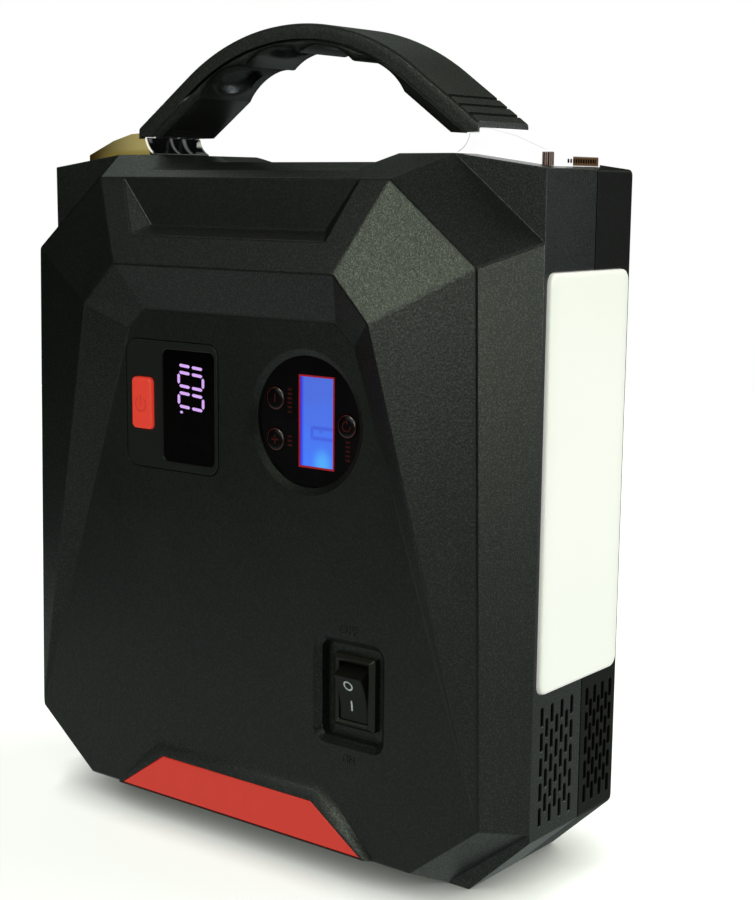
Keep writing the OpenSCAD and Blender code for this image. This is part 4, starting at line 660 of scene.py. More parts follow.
def grip_solid():
    """Rings carried along the arch and out along both straight legs.
    A ring runs from the top of the grip over its chamfer, down the front with its groove, and over the facet
    to the finger side, then back up behind. Depth is measured inwards from the outer arch. Along the arch the
    finger side follows circles through the crests; each line of a leg ends where it meets the foot or the end."""
    depth = np.array([0, 0, 0, 0.1, 0.4, 0.9, 2.4, 4.2, 4.35, 4.5, 5.0, 5.15, 5.3])
    half = np.array([0, 6, 11.2, 11.75, 12.1, 12.3, 12.3, 12.3, 12.3, 12.3, 12.3, 12.3, 12.15])
    cut = np.array([0, 0, 0, 0, 0, 0, 0, 0, 0.08, 1.4, 1.5, 0.3, 0.1])
    share = np.array([0.4, 0.75, 0.92, 1, 1, 1, 1, 1, 1])
    low_half = np.array([11.95, 11.7, 11.3, 10.2, 7.9, 5.8, 4, 2, 0])
    count = len(depth) + len(share)
    turn = np.linspace(-leg_angle, leg_angle, 225)
    beside = (turn % crest) - crest / 2
    inner = hollow_middle * np.cos(beside) + np.sqrt(hollow_round ** 2 - (hollow_middle * np.sin(beside)) ** 2)
    moved = beside + 0.035 * (turn < -crest)
    oval = np.sqrt((moved[:, None] * inner_arch / 6.2) ** 2 + (low_half[None, :] / 8.2) ** 2)
    blend = np.clip((1.0 - oval) / 0.3, 0, 1)
    dent = 2.1 * blend * blend * (3 - 2 * blend)
    thick = arch_r - inner
    d = np.concatenate([np.repeat(depth[None], len(turn), 0),
        depth[-1] + (thick[:, None] - depth[-1]) * share - dent * (share == 1)], 1)
    grooved = np.clip((36 - arch_r * np.sin(turn)) / 12, 0.12, 1)
    w = np.concatenate([half - cut * grooved[:, None], np.repeat(low_half[None], len(turn), 0)], 1)
    x = (arch_r - d) * np.sin(turn)[:, None]
    z = arch_z + (arch_r - d) * np.cos(turn)[:, None]
    arch = np.stack([x, w, z], -1)
    rings = [arch]
    for sign in (-1, 1):
        start = arch[0] if sign < 0 else arch[-1]
        run = np.minimum((grip_end - np.abs(start[:, 0])) / math.cos(leg_angle),
            (start[:, 2] - grip_foot_z) / math.sin(leg_angle))
        steps = np.linspace(0, 1, 13)[1:]
        way = np.array([sign * math.cos(leg_angle), 0, -math.sin(leg_angle)])
        leg = start[None] + steps[:, None, None] * run[None, :, None] * way
        if sign < 0:
            leg[:, :len(depth), 1] += cut * np.clip((steps[:, None] * run[None, :len(depth)] - 2) / 3, 0, 1)
        rings = [leg[::-1]] + rings if sign < 0 else rings + [leg]
    line = np.concatenate(rings)
    rows = len(line)
    back = line[:, 1:-1][:, ::-1]
    loop = np.concatenate([line * [1, -1, 1], back], 1) + [0, core_mid_y, 0]
    n = loop.shape[1]
    faces = grid_faces(rows, n)
    for row, flip in ((0, True), (rows - 1, False)):
        first = row * n
        cap = [[first + k, first + k + 1, first + (n - k - 1) % n, first + (n - k) % n] for k in range(1, count - 2)]
        cap += [[first, first + 1, first + n - 1], [first + count - 2, first + count - 1, first + n - count + 2]]
        faces += [face[::-1] for face in cap] if flip else cap
    return facing_out(loop.reshape(-1, 3), faces)


def turned_box(cx, cz, angle, along, y0, y1, across):
    """A box about a point in the XZ plane, turned by an angle about Y; along and across are its two extents."""
    u = np.array([math.cos(angle), -math.sin(angle)])
    v = np.array([math.sin(angle), math.cos(angle)])
    corners = [u * s + v * c for s, c in ((along[0], across[0]), (along[1], across[0]), (along[1], across[1]),
        (along[0], across[1]))]
    return prism(np.array(corners) + [cx, cz], y0, y1)


grip = mesh_piece("grip_moulding", *grip_solid(), turn=True)
thumb_grooves = []
for side_sign in (-1, 1):
    for k in range(3):
        run = 13.5 + 4.2 * k
        gx = arch_r * math.sin(leg_angle) + run * math.cos(leg_angle)
        gz = arch_z + arch_r * math.cos(leg_angle) - run * math.sin(leg_angle)
        thumb_grooves.append(turned_box(side_sign * gx, gz, side_sign * leg_angle, (-0.6, 0.6), core_mid_y - 11.9,
            core_mid_y + 14, (-0.95, 1)))
tongue_x, tongue_z = 59.87, grip_foot_z
tongues = [turned_box(s * tongue_x, tongue_z, s * leg_angle, (-11.1, 3) if s > 0 else (-3, 11.1), core_mid_y - 8.1,
    core_mid_y + 8.1, (-1.6, 1.6)) for s in (-1, 1)]
carve(grip, gather(thumb_grooves), gather(tongues))
soften(grip, 32)


def under_arch(link):
    """1 on the finger side of the arch, where its distance from the arch's centre is small."""
    x, z, y = place_of(link)
    return ((x * x + (z - arch_z) * (z - arch_z)) ** 0.5).ease(68.6, 69.0, 1.0, 0.0) * (y - core_mid_y).size().ease(
        9.9, 10.5, 1.0, 0.0)


grip_rubber = moulded("grip_rubber", (0.0088, 0.0094, 0.0082), rough=0.40, size=0.0006, depth=0.04, wear=0.08,
    gloss=0.46, speck=0.2, flecks=0.75, polish=under_arch)
grip.data.materials.clear()
grip.data.materials.append(grip_rubber)
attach(grip, "housing")
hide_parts("handle_grip")

# ---- end blocks ----
# Die-cast blocks, polished and chromed, stand on the shoulders of the roof under the ends of the grip.
# A concave cut frees the hand gap, a tongue runs up into the grip, and screws hold them from inside.
block_half, cut_x, cut_z, cut_r = 12.1, 54.97, 207.6, 6.0
arc = np.radians(np.linspace(-7.2, -68.9, 10))
block_outline = np.concatenate([[(57.17, 201.3), (63, 201.3), (87, 197.5), (87, 201.5), (75.8, 205.9), (67.8, 207.9),
    (64.05, 208.1), (64.05, 206.85)], np.stack([cut_x + cut_r * np.cos(arc), cut_z + cut_r * np.sin(arc)], 1)])
lean = np.array([math.cos(leg_angle), -math.sin(leg_angle)])
upward = np.array([math.sin(leg_angle), math.cos(leg_angle)])
tongue_root = np.array([tongue_x, tongue_z])
low_start = tongue_root - 1.5 * upward
under = (low_start[1] - grip_foot_z + 0.35) / math.sin(leg_angle)
tongue_outline = np.array([tongue_root - 11 * lean - 1.5 * upward, tongue_root - 11 * lean + 1.5 * upward,
    tongue_root + 2.2 * lean + 1.5 * upward, (tongue_x + 2.6, grip_foot_z - 0.35), low_start + under * lean])


def end_block(name, sign, node):
    """A prism through the block's outline from front to back, with bevelled edges and its tongue joined on."""
    outline = block_outline * [sign, 1]
    block = mesh_piece(name, *prism(outline, core_mid_y - block_half, core_mid_y + block_half))
    round_edges(block, 0.45, limit_method="ANGLE", angle_limit=math.radians(25))
    carve(block, prism(tongue_outline * [sign, 1], core_mid_y - 8, core_mid_y + 8), joining=True)
    carve(block, gather([prism(circle(1.94, sign * handle_screw_x, core_mid_y + y, 24), 190, 205.4, "z")
        for y in (-handle_screw_y, handle_screw_y)]))
    soften(block, 30)
    block.data.materials.append(chrome[sign])
    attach(block, "housing")
    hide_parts(node)


def mirror_chrome(name, glow_of):
    """Polished chrome with a faint haze and waves, its own reflection mostly darkened: glow_of paints the bright room
    that it mirrors, by place, as a painted reflection that glows, and tells how far to darken the mirror.
    """
    made, link = new_material(name)
    haze = link.noise(130.0, 4.0)
    x, z, y = place_of(link)
    mirror_darkening, glow = glow_of(link, x, y, z, haze)
    tone = mirror_darkening.blend(haze.blend((0.78, 0.78, 0.77), (0.90, 0.89, 0.87)), (0.02, 0.02, 0.02))
    close_material(link, Base_Color=tone, Metallic=1.0, Roughness=0.05 + 0.10 * haze, Emission_Color=glow,
        Emission_Strength=1.0, Normal=link.relief(link.noise(45.0, 1.0), 0.00012))
    return made


def bar_mask(u, v, cu, cv, w, h, soft=0.08):
    """1 inside a w by h bar about a point, 0 outside, with soft edges."""
    across = (u - cu).size().ease(w / 2 - soft, w / 2 + soft, 1.0, 0.0)
    along = (v - cv).size().ease(h / 2 - soft, h / 2 + soft, 1.0, 0.0)
    return across * along


def ring_mask(u, v, cu, cv, r, line, soft=0.08):
    """1 on a circle's line about a point, 0 elsewhere."""
    far = ((u - cu) * (u - cu) + (v - cv) * (v - cv)) ** 0.5
    return (far - r).size().ease(line / 2 - soft, line / 2 + soft, 1.0, 0.0)


def white_room(link, x, y, z, haze):
    """A painted reflection of a white room: a white glow all over, with grey painted lines along the front's top edge
    and round the concave cut, some dark and brown painted stripes at the outer corner of the front, and a brown painted
    patch with dashes on the end, none of it the chrome's own colour."""
    outer, back, foot = x.ease(86.55, 86.75), y - core_mid_y, z - 198.0
    reflected_patch = outer * bar_mask(back, foot, 4.6, 1.45, 13.0, 2.4, 0.2)
    wave = link.maths("SINE", y * 5.0 + haze * 9).ease(-1.0, -0.2)
    dashes = outer * bar_mask(back, foot, 2.6, 1.5, 14.6, 1.1, 0.2) * wave
    run = x - 86.5 + (back + block_half)
    stripes = back.ease(-9.9, -9.6, 1.0, 0.0) * bar_mask(run, foot, -0.6, 1.9, 4.0, 3.6, 0.2)
    brown = link.maths("SINE", run * 4.4 + haze * 2.0)
    stripes = stripes * brown.size().ease(0.0, 0.12)
    brown = brown.ease(-0.5, 0.5).blend((0.016, 0.008, 0.005), (0.11, 0.055, 0.028))
    brown = reflected_patch.blend(brown, haze.blend((0.03, 0.016, 0.008), (0.16, 0.095, 0.040)))
    brown = dashes.blend(brown, (0.004, 0.0015, 0.002))
    mark = reflected_patch.most(stripes).most(dashes)
    line = ring_mask(x, z, cut_x, cut_z, 6.2, 0.3, 0.1) * 0.8
    rim = (y - (core_mid_y - 11.8)).size().ease(0.1, 0.45, 0.35, 0.0) * (1 - outer) * z.ease(201.8, 202.4)
    glow = line.most(rim).blend(haze.blend((1.0, 1.0, 1.0), (1.1, 1.1, 1.1)), (0.22, 0.24, 0.20))
    return 0.9 + 0.09 * mark, mark.blend(glow, brown)


def warm_room(link, x, y, z, haze):
    """A painted reflection of a warm room: yellow-brown that pales towards the grip and is darker in a low band by the
    roof, painted shade where the grip comes down on it, a painted white highlight line along the cut, and painted dark
    with light streaks inside it.
    """
    warm_reflection = x.ease(-88.0, -60.0).blend((0.020, 0.012, 0.001), (0.34, 0.285, 0.105))
    low = (z - 200.6 - (x + 87) * 0.03).ease(0.6, 2.4, 1.0, 0.0) * x.ease(-84.0, -74.0)
    warm_reflection = (low * 0.6).blend(warm_reflection, (0.155, 0.115, 0.012))
    shade = x.ease(-60.0, -58.8).most(x.ease(-64.4, -64.0) * z.ease(206.2, 206.5))
    warm_reflection = shade.blend(warm_reflection, (0.006, 0.006, 0.005))
    near = ((x + cut_x) * (x + cut_x) + (z - cut_z) * (z - cut_z)).ease(36.3, 36.9, 1.0, 0.0)
    cut = x.ease(-61.6, -61.2).least(near)
    inside = cut * y.ease(core_mid_y - 11.9, core_mid_y - 11.5)
    line = ring_mask(x, z, -cut_x, cut_z, 6.3, 0.5, 0.12) * (1 - inside) * x.ease(-58.8, -57.6, 1.0, 0.0)
    streak = bar_mask(y, z, 7.0, 204, 1.0, 7, 0.4).most(bar_mask(y, z, 12.7, 203.6, 1.4, 6, 0.5)).most(
        bar_mask(y, z, 20.0, 204, 0.9, 9, 0.3)).most(bar_mask(y, z, -2.2, 206, 1.2, 1.4, 0.5))
    glow = line.blend(warm_reflection, (0.93, 0.93, 0.86))
    inner = (streak * haze).blend((0.002, 0.002, 0.002), (0.20, 0.21, 0.22))
    return 0.93 + 0.06 * shade, inside.blend(glow, inner)


# Both end blocks glow with painted reflections of the room: white on the right, warm on the left.
chrome = {-1: mirror_chrome("chrome_left", warm_room), 1: mirror_chrome("chrome_right", white_room)}
end_block("end_block_left", -1, "handle_block_left")
end_block("end_block_right", 1, "handle_block_right")

# ---- power panel ----
# A flat insert of finer black plastic, glued into its pocket, frames the power button and the window.
# The red button is domed and moulded with the power sign; figures shine through the smoked window.
inset_black = moulded("insert_black", (0.0052, 0.0062, 0.0058), rough=0.38, size=0.00045, depth=0.02, wear=0.05,
    speck=0.1)


def softened_plate(w, h, r, front, back, lip=0.3, cx=0.0, cz=0.0, axis="y"):
    """A plate with round corners whose front edge is rounded by lip: the outline shrinks towards the front."""
    way = -1 if front < back else 1
    rows = [(0, back)] + [(lip * (1 - math.cos(t)), front - way * lip * (1 - math.sin(t)))
        for t in np.linspace(0, np.pi / 2, 5)]
    return lofted([(w - 2 * i, h - 2 * i, max(r - i, 0.2), y) for i, y in rows], cx, cz, axis)


def flared_hole(w, h, r, front, back, cx, cz, flare=0.25):
    """A cutter for a hole with round corners and a bevelled rim at its front."""
    return lofted([(w + 2.4 * flare, h + 2.4 * flare, r + flare * 1.2, front - flare * 0.2), (w, h, r, front + flare),
        (w, h, r, back)], cx, cz)


button_x, window_x = -37.4, -19.0
panel = mesh_piece("power_panel_insert", *softened_plate(37.2, 38, 3.8, face_y, face_y + 1.6, 0.25, panel_x, display_z))
carve(panel, flared_hole(8.6, 15.6, 1.6, face_y, face_y + 3, button_x, display_z),
    flared_hole(20.6, 33.2, 2, face_y, face_y + 3, window_x, display_z, 0.3))
soften(panel)
panel.data.materials.append(inset_black)
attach(panel, "housing")
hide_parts("power_panel")


red_plastic, link = new_material("button_red")
x, z, _ = place_of(link)
sign_x = button_x - 0.4
gap = bar_mask(x, z, sign_x, display_z + 1.7, 2.2, 2.2)
sign = (ring_mask(x, z, sign_x, display_z - 0.35, 2.1, 0.5) * (1 - gap)).most(
    bar_mask(x, z, sign_x, display_z + 0.75, 0.5, 3.0))
fine = grain(link, 0.0004)
cloud = link.noise(120.0, 3.0)
tone = cloud.blend((0.62, 0.045, 0.028), (0.70, 0.055, 0.034))
# The button is no lamp: its emission is a painted glow that brightens the red, weaker over the sign.
close_material(link, Base_Color=(sign * 0.55).blend(tone, (0.30, 0.025, 0.018)), Roughness=0.42 + fine * 0.08,
    Emission_Color=(sign * 0.22).blend((0.43, 0.023, 0.012), (0.10, 0.008, 0.004)), Emission_Strength=1.0,
    Normal=link.relief(fine * 0.25 - sign * 2.0, 0.00008), Coat_Weight=0.15)
button_rows = [(3, 3, 1.45, 2.9), (3, 3, 1.45, 2.5), (9.9, 16.9, 1.6, 2.5), (9.9, 16.9, 1.6, 1.7),
    (8.3, 15.3, 1.5, 1.7), (8.3, 15.3, 1.5, -0.3), (8.22, 15.22, 1.46, -0.48), (8.0, 15.0, 1.4, -0.62),
    (7.6, 14.6, 1.25, -0.72), (6.6, 13.6, 1.0, -0.78), (4.5, 11.5, 0.8, -0.8)]
mesh_button = mesh_piece("power_button_cap", *lofted([(w, h, r, face_y + d) for w, h, r, d in button_rows], button_x,
    display_z), "power_button", red_plastic, "red_button")
soften(mesh_button, 40)
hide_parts("power_button")

smoked, link = new_material("smoked_window")
dust = link.noise(260.0, 5.0)
close_material(link, Base_Color=dust.ease(0.5, 0.8).blend((0.0022, 0.0018, 0.0020), (0.004, 0.0035, 0.0038)),
    Roughness=0.08 + 0.08 * dust, Specular_IOR_Level=0.4,
    Normal=link.relief(dust, 0.00001, 0.4))
dress(smoked, "display_window")

glow_violet, link = new_material("figure_glow")
spark = link.noise(500.0)
close_material(link, Base_Color=(0.05, 0.04, 0.06), Roughness=0.4 + 0.1 * spark,
    Emission_Color=spark.blend((0.60, 0.33, 0.86), (0.76, 0.47, 1.0)), Emission_Strength=1.0,
    Normal=link.relief(spark, 0.00001, 0.3))


def segment(cx, cz, length, width, upright_bar):
    """One bar of a figure: a flat bar with pointed ends, 0.2 thick, lying on the window."""
    a, b = length / 2, width / 2
    p = np.array([(-a, 0), (-a + b, b), (a - b, b), (a, 0), (a - b, -b), (-a + b, -b)])
    if upright_bar:
        p = p[:, ::-1]
    return prism(p + [cx, cz], face_y + 0.17, face_y + 0.36)


digit_x, digit_top = window_x + 1.05, display_z + 13.95
bars = []
for k, lit in enumerate([(0, 0, 1, 1, 0, 0), (1, 1, 1, 1, 1, 1), (1, 1, 1, 1, 1, 1)]):
    cz = digit_top - 6.0 * k
    spots = [(4.87, 0, 2.9, True), (-4.87, 0, 2.9, True), (2.5, -1.97, 4.1, False), (-2.5, -1.97, 4.1, False),
        (2.5, 1.97, 4.1, False), (-2.5, 1.97, 4.1, False)]
    bars += [segment(digit_x + dx, cz + dz, size, 0.85, up) for on, (dx, dz, size, up) in zip(lit, spots) if on]
bars.append(segment(digit_x - 3.85, digit_top - 15.7, 1.1, 0.7, False))
bar_points, bar_faces = gather(bars)
bar_points = np.asarray(bar_points, float)
bar_points[:, 2] -= 0.08 * (bar_points[:, 0] - digit_x)
figures = mesh_piece("display_figures", bar_points, bar_faces, "housing", glow_violet, "digits")
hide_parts("display_digits")

# ---- boards and parts behind the panels ----
# Glass-fibre boards with green lacquer and tinned traces, screwed to posts behind the front.
# They carry the display module, the switches behind the keys, and the drivers of the lights.
board_green, link = new_material("circuit_board")
where = link.place()
weave = link.noise(900.0, 2.0)
track = link.node("ShaderNodeTexVoronoi", {"distance": "MANHATTAN"}, Vector=where, Scale=260.0).ease(0.42, 0.5)
pads = link.node("ShaderNodeTexVoronoi", Vector=where, Scale=180.0).ease(0.10, 0.14, 1.0, 0.0)
tone = track.blend((0.012, 0.085, 0.030), (0.028, 0.150, 0.055))
close_material(link, Base_Color=pads.blend(tone, (0.55, 0.54, 0.50)), Metallic=pads * 0.9,
    Roughness=0.38 + weave * 0.15, Normal=link.relief(track * 0.6 + pads + weave * 0.2, 0.00006))
dress(board_green, "display_board", "gauge_board", "warning_board", "protection_board", "port_board")
dress(moulded("component_black", (0.02, 0.02, 0.021), rough=0.45, size=0.0005, depth=0.02, edge=0.3),
    "power_switch", "key_switches", "battery_lower_holder", "battery_upper_holder", "cooling_fan", "start_relay")
dress(moulded("white_plastic", (0.78, 0.78, 0.74), rough=0.4, size=0.0006, depth=0.02, edge=0.3),
    "display_module", "usb_tongues", "lamp_reflector")
dress(moulded("led_phosphor", (0.85, 0.74, 0.36), rough=0.35, size=0.0004, depth=0.01, edge=0.2),
    "warning_leds", "lamp_leds")

# ---- inflator panel ----
# A round glossy panel sunk in a funnel, printed on its back in dim red, with three domed keys.
# The upright liquid crystal screen has a red printed border and a blue light from below.
gauge_y, ledge_y, lcd_x = -27.4, -25.4, 28.2
key_spots = {"minus_key": (-12.2, 5.6), "plus_key": (-12.2, -6.0), "mode_key": (13.5, 0.0)}
print_red = (0.085, 0.012, 0.008)


def glossy_print(name, marks):
    """Polished black panel with dim red printing: marks makes the mask of the printing from a point's x and z."""
    made, link = new_material(name)
    x, z, y = place_of(link)
    smear = link.noise(90.0, 5.0)
    front_side = y.ease(gauge_y + 0.2, gauge_y + 0.4, 1.0, 0.0)
    mask = marks(x, z) * front_side
    base = smear.blend((0.0030, 0.0024, 0.0036), (0.0055, 0.0045, 0.0065))
    close_material(link, Base_Color=mask.blend(base, print_red), Roughness=0.10 + 0.10 * smear,
        Specular_IOR_Level=0.5, Normal=link.relief(smear, 0.00002, 0.5))
    return made


def panel_marks(x, z):
    """Rows of short bars beside the keys, where a real panel has its captions."""
    mask = None
    for cx, cz, rows, w in ((-7.2, 5.3, 6, 1.5), (-7.2, -6.0, 3, 1.5), (13.6, -6.9, 5, 1.5)):
        for k in range(rows):
            bar = bar_mask(x, z, gauge_x + cx, display_z + cz + (k - (rows - 1) / 2) * 1.25, w, 0.55, 0.15)
            mask = bar if mask is None else mask.most(bar)
    return mask


dress(glossy_print("gauge_gloss", panel_marks), "gauge_face")


def key_marks(spot, kind):
    """The printing of one key: a ring with a minus, a plus or a generic return arrow in it."""
    cx, cz = gauge_x + spot[0], display_z + spot[1]

    def marks(x, z):
        mask = ring_mask(x, z, cx, cz, 3.0, 0.36)
        if kind == "mode_key":
            loop = ring_mask(x, z, cx, cz, 1.35, 0.4) * (1 - bar_mask(x, z, cx + 1.2, cz + 0.9, 1.6, 1.4))
            return mask.most(loop).most(bar_mask(x, z, cx + 0.15, cz + 1.35, 0.4, 1.3))
        for w, h in {"minus_key": [(0.42, 2.4)], "plus_key": [(0.42, 2.6), (2.6, 0.42)]}[kind]:
            mask = mask.most(bar_mask(x, z, cx, cz, w, h))
        return mask
    return marks


key_rows = [(1.4, ledge_y + 2.2), (1.4, ledge_y + 0.9), (3.7, ledge_y + 0.9), (3.7, ledge_y + 0.15),
    (3.3, ledge_y + 0.15), (3.3, gauge_y - 0.2), (3.22, gauge_y - 0.34), (3.05, gauge_y - 0.44), (2.6, gauge_y - 0.53),
    (1.9, gauge_y - 0.58), (1.0, gauge_y - 0.6)]
for node, spot in key_spots.items():
    key = mesh_piece(node + "_cap", *turned(key_rows, gauge_x + spot[0], display_z + spot[1], 48), node,
        glossy_print(node + "_gloss", key_marks(spot, node)), "key_black")
    soften(key, 40)
    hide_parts(node)

border_red, link = new_material("screen_border_red")
tint = link.noise(300.0)
close_material(link, Base_Color=tint.blend((0.45, 0.012, 0.02), (0.55, 0.02, 0.028)), Roughness=0.25 + 0.1 * tint,
    Emission_Color=(0.50, 0.010, 0.03), Emission_Strength=0.26,
    Normal=link.relief(tint, 0.00001, 0.3))
dress(border_red, "lcd_frame")

screen_blue, link = new_material("screen_backlight")
x, z, _ = place_of(link)
u, v = x - lcd_x, z - display_z
sheen = link.noise(180.0, 3.0)
fade = v.ease(-13.0, 13.0)
deep = u.ease(-5.7, -4.4, 1.0, 0.0)
band = link.maths("SINE", v * 0.9 + 3.0 * sheen).ease(-1.0, 1.0)
lit = (fade * 0.9 + (sheen - 0.5) * 0.25 + band * 0.1).blend((0.065, 0.205, 0.98), (0.082, 0.155, 0.72))
spot = (((u - 2.0) * (u - 2.0) + (v + 11.5) * (v + 11.5) * 0.6) ** 0.5).ease(0.5, 4.5, 1.0, 0.0)
lit = (spot * 0.7).blend(lit, (0.10, 0.52, 1.0))
lit = (deep * 0.85).blend(lit, (0.014, 0.022, 0.85))
lit = u.ease(-6.2, -5.9, 0.9, 0.0).blend(lit, (0.004, 0.004, 0.02))
figure = bar_mask(u, v, 2.2, -1.5, 7.4, 0.9, 0.5).most(bar_mask(u, v, 2.2, -4.4, 7.4, 0.9, 0.5)).most(
    bar_mask(u, v, -1.7, -3.0, 0.9, 3.4, 0.5)).most(bar_mask(u, v, 1.6, -1.9, 1.6, 1.6, 0.6) * 0.7)
lit = (figure * 0.45).blend(lit, (0.045, 0.03, 0.50))
seen = link.node("ShaderNodeLightPath", out=0)
lit = seen.blend((0.004, 0.01, 0.05), lit)
close_material(link, Base_Color=(0.01, 0.02, 0.06), Roughness=0.16 + 0.05 * sheen, Emission_Color=lit,
    Emission_Strength=0.95, Normal=link.relief(sheen, 0.00001, 0.3))
dress(screen_blue, "lcd_screen")

# ---- master switch ----
# A snap-in rocker switch of black nylon in its own well: a mitred bezel, and a dished paddle on two pins.
# O and I are printed in white on the paddle; OFF and ON are raised in the housing above and below the well.
bezel_y, pivot_y = -26.8, -21.84
nylon = moulded("switch_nylon", (0.0150, 0.0138, 0.0098), rough=0.36, size=0.0005, depth=0.02, wear=0.1)
bezel_rows = [(15, 21, 0.7, well_floor_y), (15, 21, 0.7, bezel_y + 0.15), (14.8, 20.8, 0.65, bezel_y - 0.02),
    (12.1, 18.8, 0.4, bezel_y - 0.74), (11.9, 18.6, 0.3, bezel_y - 0.8)]
bezel = mesh_piece("switch_bezel", *lofted(bezel_rows, switch_x, switch_z, steps=3))
carve(bezel, prism(rounded(12.9, 19.1, 0.3, switch_x, switch_z), well_floor_y - 0.02, well_floor_y + 15), joining=True)
funnel = lofted([(12.0, 18.7, 0.3, bezel_y - 1), (11.7, 18.4, 0.3, bezel_y - 0.78),
    (10.3, 17.0, 0.25, bezel_y - 0.38), (10.3, 17.0, 0.25, pivot_y + 7.6)], switch_x, switch_z, steps=3)
pin_hole = prism(circle(1.26, pivot_y, switch_z, 32), switch_x - 7, switch_x + 7, "x")
terminals = gather([prism(rounded(5.2, 0.9, 0.05, switch_x, switch_z + s, 2), -15.2, -9.2) for s in (-4.5, 4.5)])
carve(bezel, funnel, pin_hole, terminals)
soften(bezel)
bezel.data.materials.append(nylon)
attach(bezel, "housing")
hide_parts("switch_housing")

paddle_x, paddle_w, dish = 41.4, 9.7, 24.0
curve = np.linspace(-6.85, 6.85, 25)
dish_middle = -6.8 - math.sqrt(dish ** 2 - 6.85 ** 2)
face_curve = np.stack([dish_middle + np.sqrt(dish ** 2 - curve ** 2), curve], 1)
paddle_back = np.array([(-1, 8.15), (2.4, 7.2), (3.4, 3), (3.4, -3), (2.4, -7.2), (-1, -8.15)])
paddle_outline = np.concatenate([face_curve, paddle_back])[::-1]
swing = math.radians(14)
tilt = np.array([[math.cos(swing), math.sin(swing)], [-math.sin(swing), math.cos(swing)]])


def paddle_solid():
    """The paddle's side outline carried across its width, drawn in a little at both sides, and turned to ON."""
    rows = [(-0.5, 0.3), (-0.48, 0.1), (-0.45, 0.0), (0.45, 0.0), (0.48, 0.1), (0.5, 0.3)]
    outlines = [inset(paddle_outline, i) @ tilt + [pivot_y, switch_z] for _, i in rows]
    return stack(outlines, [paddle_x + s * paddle_w for s, _ in rows], "x")


paddle = mesh_piece("rocker_paddle", *paddle_solid())
carve(paddle, prism(circle(1.2, pivot_y, switch_z, 32), switch_x - 6.4, switch_x + 6.4, "x"), joining=True)
soften(paddle, 30)
paddle_print, link = new_material("paddle_nylon")
x, z, y = place_of(link)
lift = (z - switch_z) * math.cos(swing) - (y - pivot_y) * math.sin(swing)
out_y = (y - pivot_y) * math.cos(swing) + (z - switch_z) * math.sin(swing)
fine = grain(link, 0.0004)
cloud = link.noise(90.0, 3.0)
white = ring_mask(x, lift, paddle_x - 0.45, 3.75, 1.35, 0.5, 0.06).most(
    bar_mask(x, lift, paddle_x - 0.4, -2.6, 0.55, 3.0, 0.06)) * out_y.ease(-4.5, -4.0, 1.0, 0.0)
nylon_tone = cloud.blend((0.0080, 0.0074, 0.0052), (0.0105, 0.0098, 0.0072))
close_material(link, Base_Color=white.blend(nylon_tone, (0.85, 0.87, 0.86)), Roughness=0.36 + fine * 0.1,
    Specular_IOR_Level=0.32, Normal=link.relief(fine + white, 0.00002))
paddle.data.materials.append(paddle_print)
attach(paddle, "rocker")
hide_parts("switch_rocker")


def raised_word(name, words, cx, cz, width, height):
    """Moulded letters: made a mesh, scaled to a width and height, and laid on the face, to be read from the front."""
    text = bpy.data.objects.new(name + "_curve", bpy.data.curves.new(name + "_curve", "FONT"))
    world_objects.link(text)
    text.data.body = words
    text.data.extrude = 0.5
    bpy.context.view_layer.update()
    shown = bpy.context.evaluated_depsgraph_get()
    mesh = bpy.data.meshes.new_from_object(text.evaluated_get(shown))
    bpy.data.objects.remove(text)
    p = points_of(mesh)
    low, high = p.min(0), p.max(0)
    q = (p - (low + high) / 2) / (high - low)
    laid = np.stack([cx + q[:, 0] * width, face_y - q[:, 2] * 0.5, cz + q[:, 1] * height], 1) * MM
    mesh.vertices.foreach_set("co", laid.ravel())
    mesh.name = name
    outward(mesh, merge=True)
    made = bpy.data.objects.new(name, mesh)
    world_objects.link(made)
    mesh.materials.clear()
    mesh.materials.append(housing_black)
    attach(made, "housing")


raised_word("raised_off", "OFF", 41.5, 72.3, 6.7, 2.5)
raised_word("raised_on", "ON", 41.7, 35.3, 4.3, 2.5)
dress(metal("contact_brass", (0.72, 0.52, 0.22), rough=0.28),
    "switch_terminals", "air_outlet", "motor_pinion", "jump_contacts")

# ---- warning light ----
# A trapezoid lens of translucent red acrylic, pressed into its raised border over a row of LEDs.
# Its edge is rounded and stands level with the border.
lens_outline = inset(light_outline, 0.4)
lens_rows = [(0, face_y + 1.2), (0, face_y - 1.3), (0.08, face_y - 1.5), (0.25, face_y - 1.64), (0.5, face_y - 1.7)]
red_acrylic, link = new_material("red_acrylic")
x, z, _ = place_of(link)
bubble = link.noise(65.0, 4.0)
pearl = grain(link, 0.0009)
led_pitch = 10
led = (x / led_pitch - link.maths("ROUND", x / led_pitch)).size().ease(0.0, 0.5, 1.0, 0.0)
led = led * (z - 14.3).size().ease(0.0, 6.0, 1.0, 0.0)
tone = (bubble * 0.7 + led * 0.3).blend((0.52, 0.026, 0.016), (0.60, 0.034, 0.022))
# The lens glows with a painted glow that brightens its red; the LEDs behind it are not lit.
close_material(link, Base_Color=tone, Roughness=0.30 + pearl * 0.06, Coat_Weight=0.3, Coat_Roughness=0.15,
    Emission_Color=(0.66, 0.034, 0.020), Emission_Strength=0.48,
    Normal=link.relief(pearl, 0.00001))
warning = mesh_piece("warning_lens_moulding", *stack([inset(lens_outline, i) for i, _ in lens_rows],
    [y for _, y in lens_rows]), "housing", red_acrylic, "light_red")
soften(warning, 30)
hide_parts("warning_lens")

